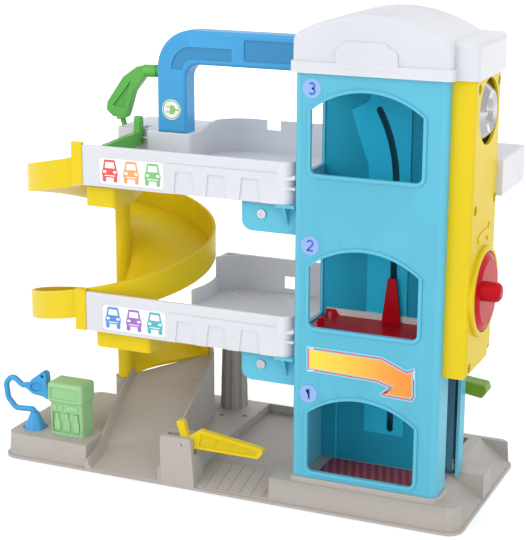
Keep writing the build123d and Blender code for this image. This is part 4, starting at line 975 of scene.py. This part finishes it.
@dataclass
class Studio:
    """Pale floor, soft lamps and the camera."""

    eye: tuple[float, float, float] = (411.9, -1002.9, 478.25)
    pitch: float = 15.252
    yaw: float = 23.475
    roll: float = 0.234
    focal: float = 1558.35
    long_side: float = 540.0
    sensor: float = 36.0
    floor_glow: float = 0.30
    floor_reach: float = 6.0
    floor_drop: float = 0.0004
    daylight: float = 1.0
    lamps: tuple[Lamp, ...] = (
        Lamp("key", (-1.0, -1.5, 1.0), 0.15, 1.3, 11),
        Lamp("fill", (1.6, -1.1, 0.8), 0.15, 1.4, 7),
        Lamp("rim", (0.4, 1.6, 1.4), 0.2, 1.0, 3))

    def floor(self) -> None:
        """Lay a plain floor that shows white to the camera, gloss and glass, and keeps shadows."""
        data = bpy.data.meshes.new("floor")
        reach = self.floor_reach
        corners = [(-reach, -reach, 0), (reach, -reach, 0), (reach, reach, 0), (-reach, reach, 0)]
        data.from_pydata(corners, [], [(0, 1, 2, 3)])
        ground = bpy.data.objects.new("floor", data)
        bpy.context.scene.collection.objects.link(ground)
        ground.location.z = -self.floor_drop
        book = ShaderBook("studio_floor")
        away = (book.axis("X").absolute() ** 2.0 + book.axis("Y").absolute() ** 2.0) ** 0.5
        shine = book.mix((self.floor_glow,) * 3, (1.0, 1.0, 1.0), away.ramp(0.35, 2.2))
        glow = book.mix((0.0, 0.0, 0.0), shine, book.seen())
        book.set(Base_Color=(0.82, 0.82, 0.82), Roughness=0.9, Emission_Color=glow, Emission_Strength=1.0)
        data.materials.append(book.material)

    def world(self) -> None:
        """Light the studio evenly and show white behind the garage."""
        world = bpy.data.worlds.new("studio")
        bpy.context.scene.world = world
        world.use_nodes = True
        tree = world.node_tree
        tree.nodes.clear()
        output = tree.nodes.new("ShaderNodeOutputWorld")
        mix = tree.nodes.new("ShaderNodeMixShader")
        soft = tree.nodes.new("ShaderNodeBackground")
        soft.inputs["Color"].default_value = (0.95, 0.97, 1.0, 1)
        soft.inputs["Strength"].default_value = self.daylight
        white = tree.nodes.new("ShaderNodeBackground")
        white.inputs["Color"].default_value = (1.0, 1.0, 1.0, 1)
        white.inputs["Strength"].default_value = 1.0
        path = tree.nodes.new("ShaderNodeLightPath")
        seen = path.outputs["Is Camera Ray"]
        for ray in ("Is Glossy Ray", "Is Transmission Ray"):
            either = tree.nodes.new("ShaderNodeMath")
            either.operation = "MAXIMUM"
            tree.links.new(seen, either.inputs[0])
            tree.links.new(path.outputs[ray], either.inputs[1])
            seen = either.outputs[0]
        tree.links.new(seen, mix.inputs[0])
        tree.links.new(soft.outputs[0], mix.inputs[1])
        tree.links.new(white.outputs[0], mix.inputs[2])
        tree.links.new(mix.outputs[0], output.inputs[0])

    def camera(self) -> None:
        """Set the camera at the photograph's place."""
        data = bpy.data.cameras.new("camera")
        data.sensor_width = self.sensor
        data.lens = self.focal / self.long_side * self.sensor
        data.clip_start = 0.05
        camera = bpy.data.objects.new("camera", data)
        bpy.context.scene.collection.objects.link(camera)
        turn = Matrix.Rotation(math.radians(self.yaw), 3, "Z")
        turn = turn @ Matrix.Rotation(math.radians(90 - self.pitch), 3, "X")
        turn = turn @ Matrix.Rotation(math.radians(self.roll), 3, "Z")
        camera.matrix_world = Matrix.Translation(place(*self.eye)) @ turn.to_4x4()
        bpy.context.scene.camera = camera

    def build(self) -> None:
        """Build the whole studio."""
        bpy.context.scene.view_settings.view_transform = "Standard"
        self.floor()
        self.world()
        for lamp in self.lamps:
            lamp.hang()
        self.camera()
        LOG.info("studio built")


def main() -> None:
    """Build and dress the garage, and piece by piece."""
    logging.basicConfig(level=logging.INFO)
    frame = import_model()
    wardrobe = Wardrobe(frame["nodes"])
    for part in (Base(), Forecourt(), SpiralRamp(), Decks(), Handle(), Tower(), Drive()):
        part.dress(wardrobe)
    Studio().build()


if __name__ == "__main__":
    main()
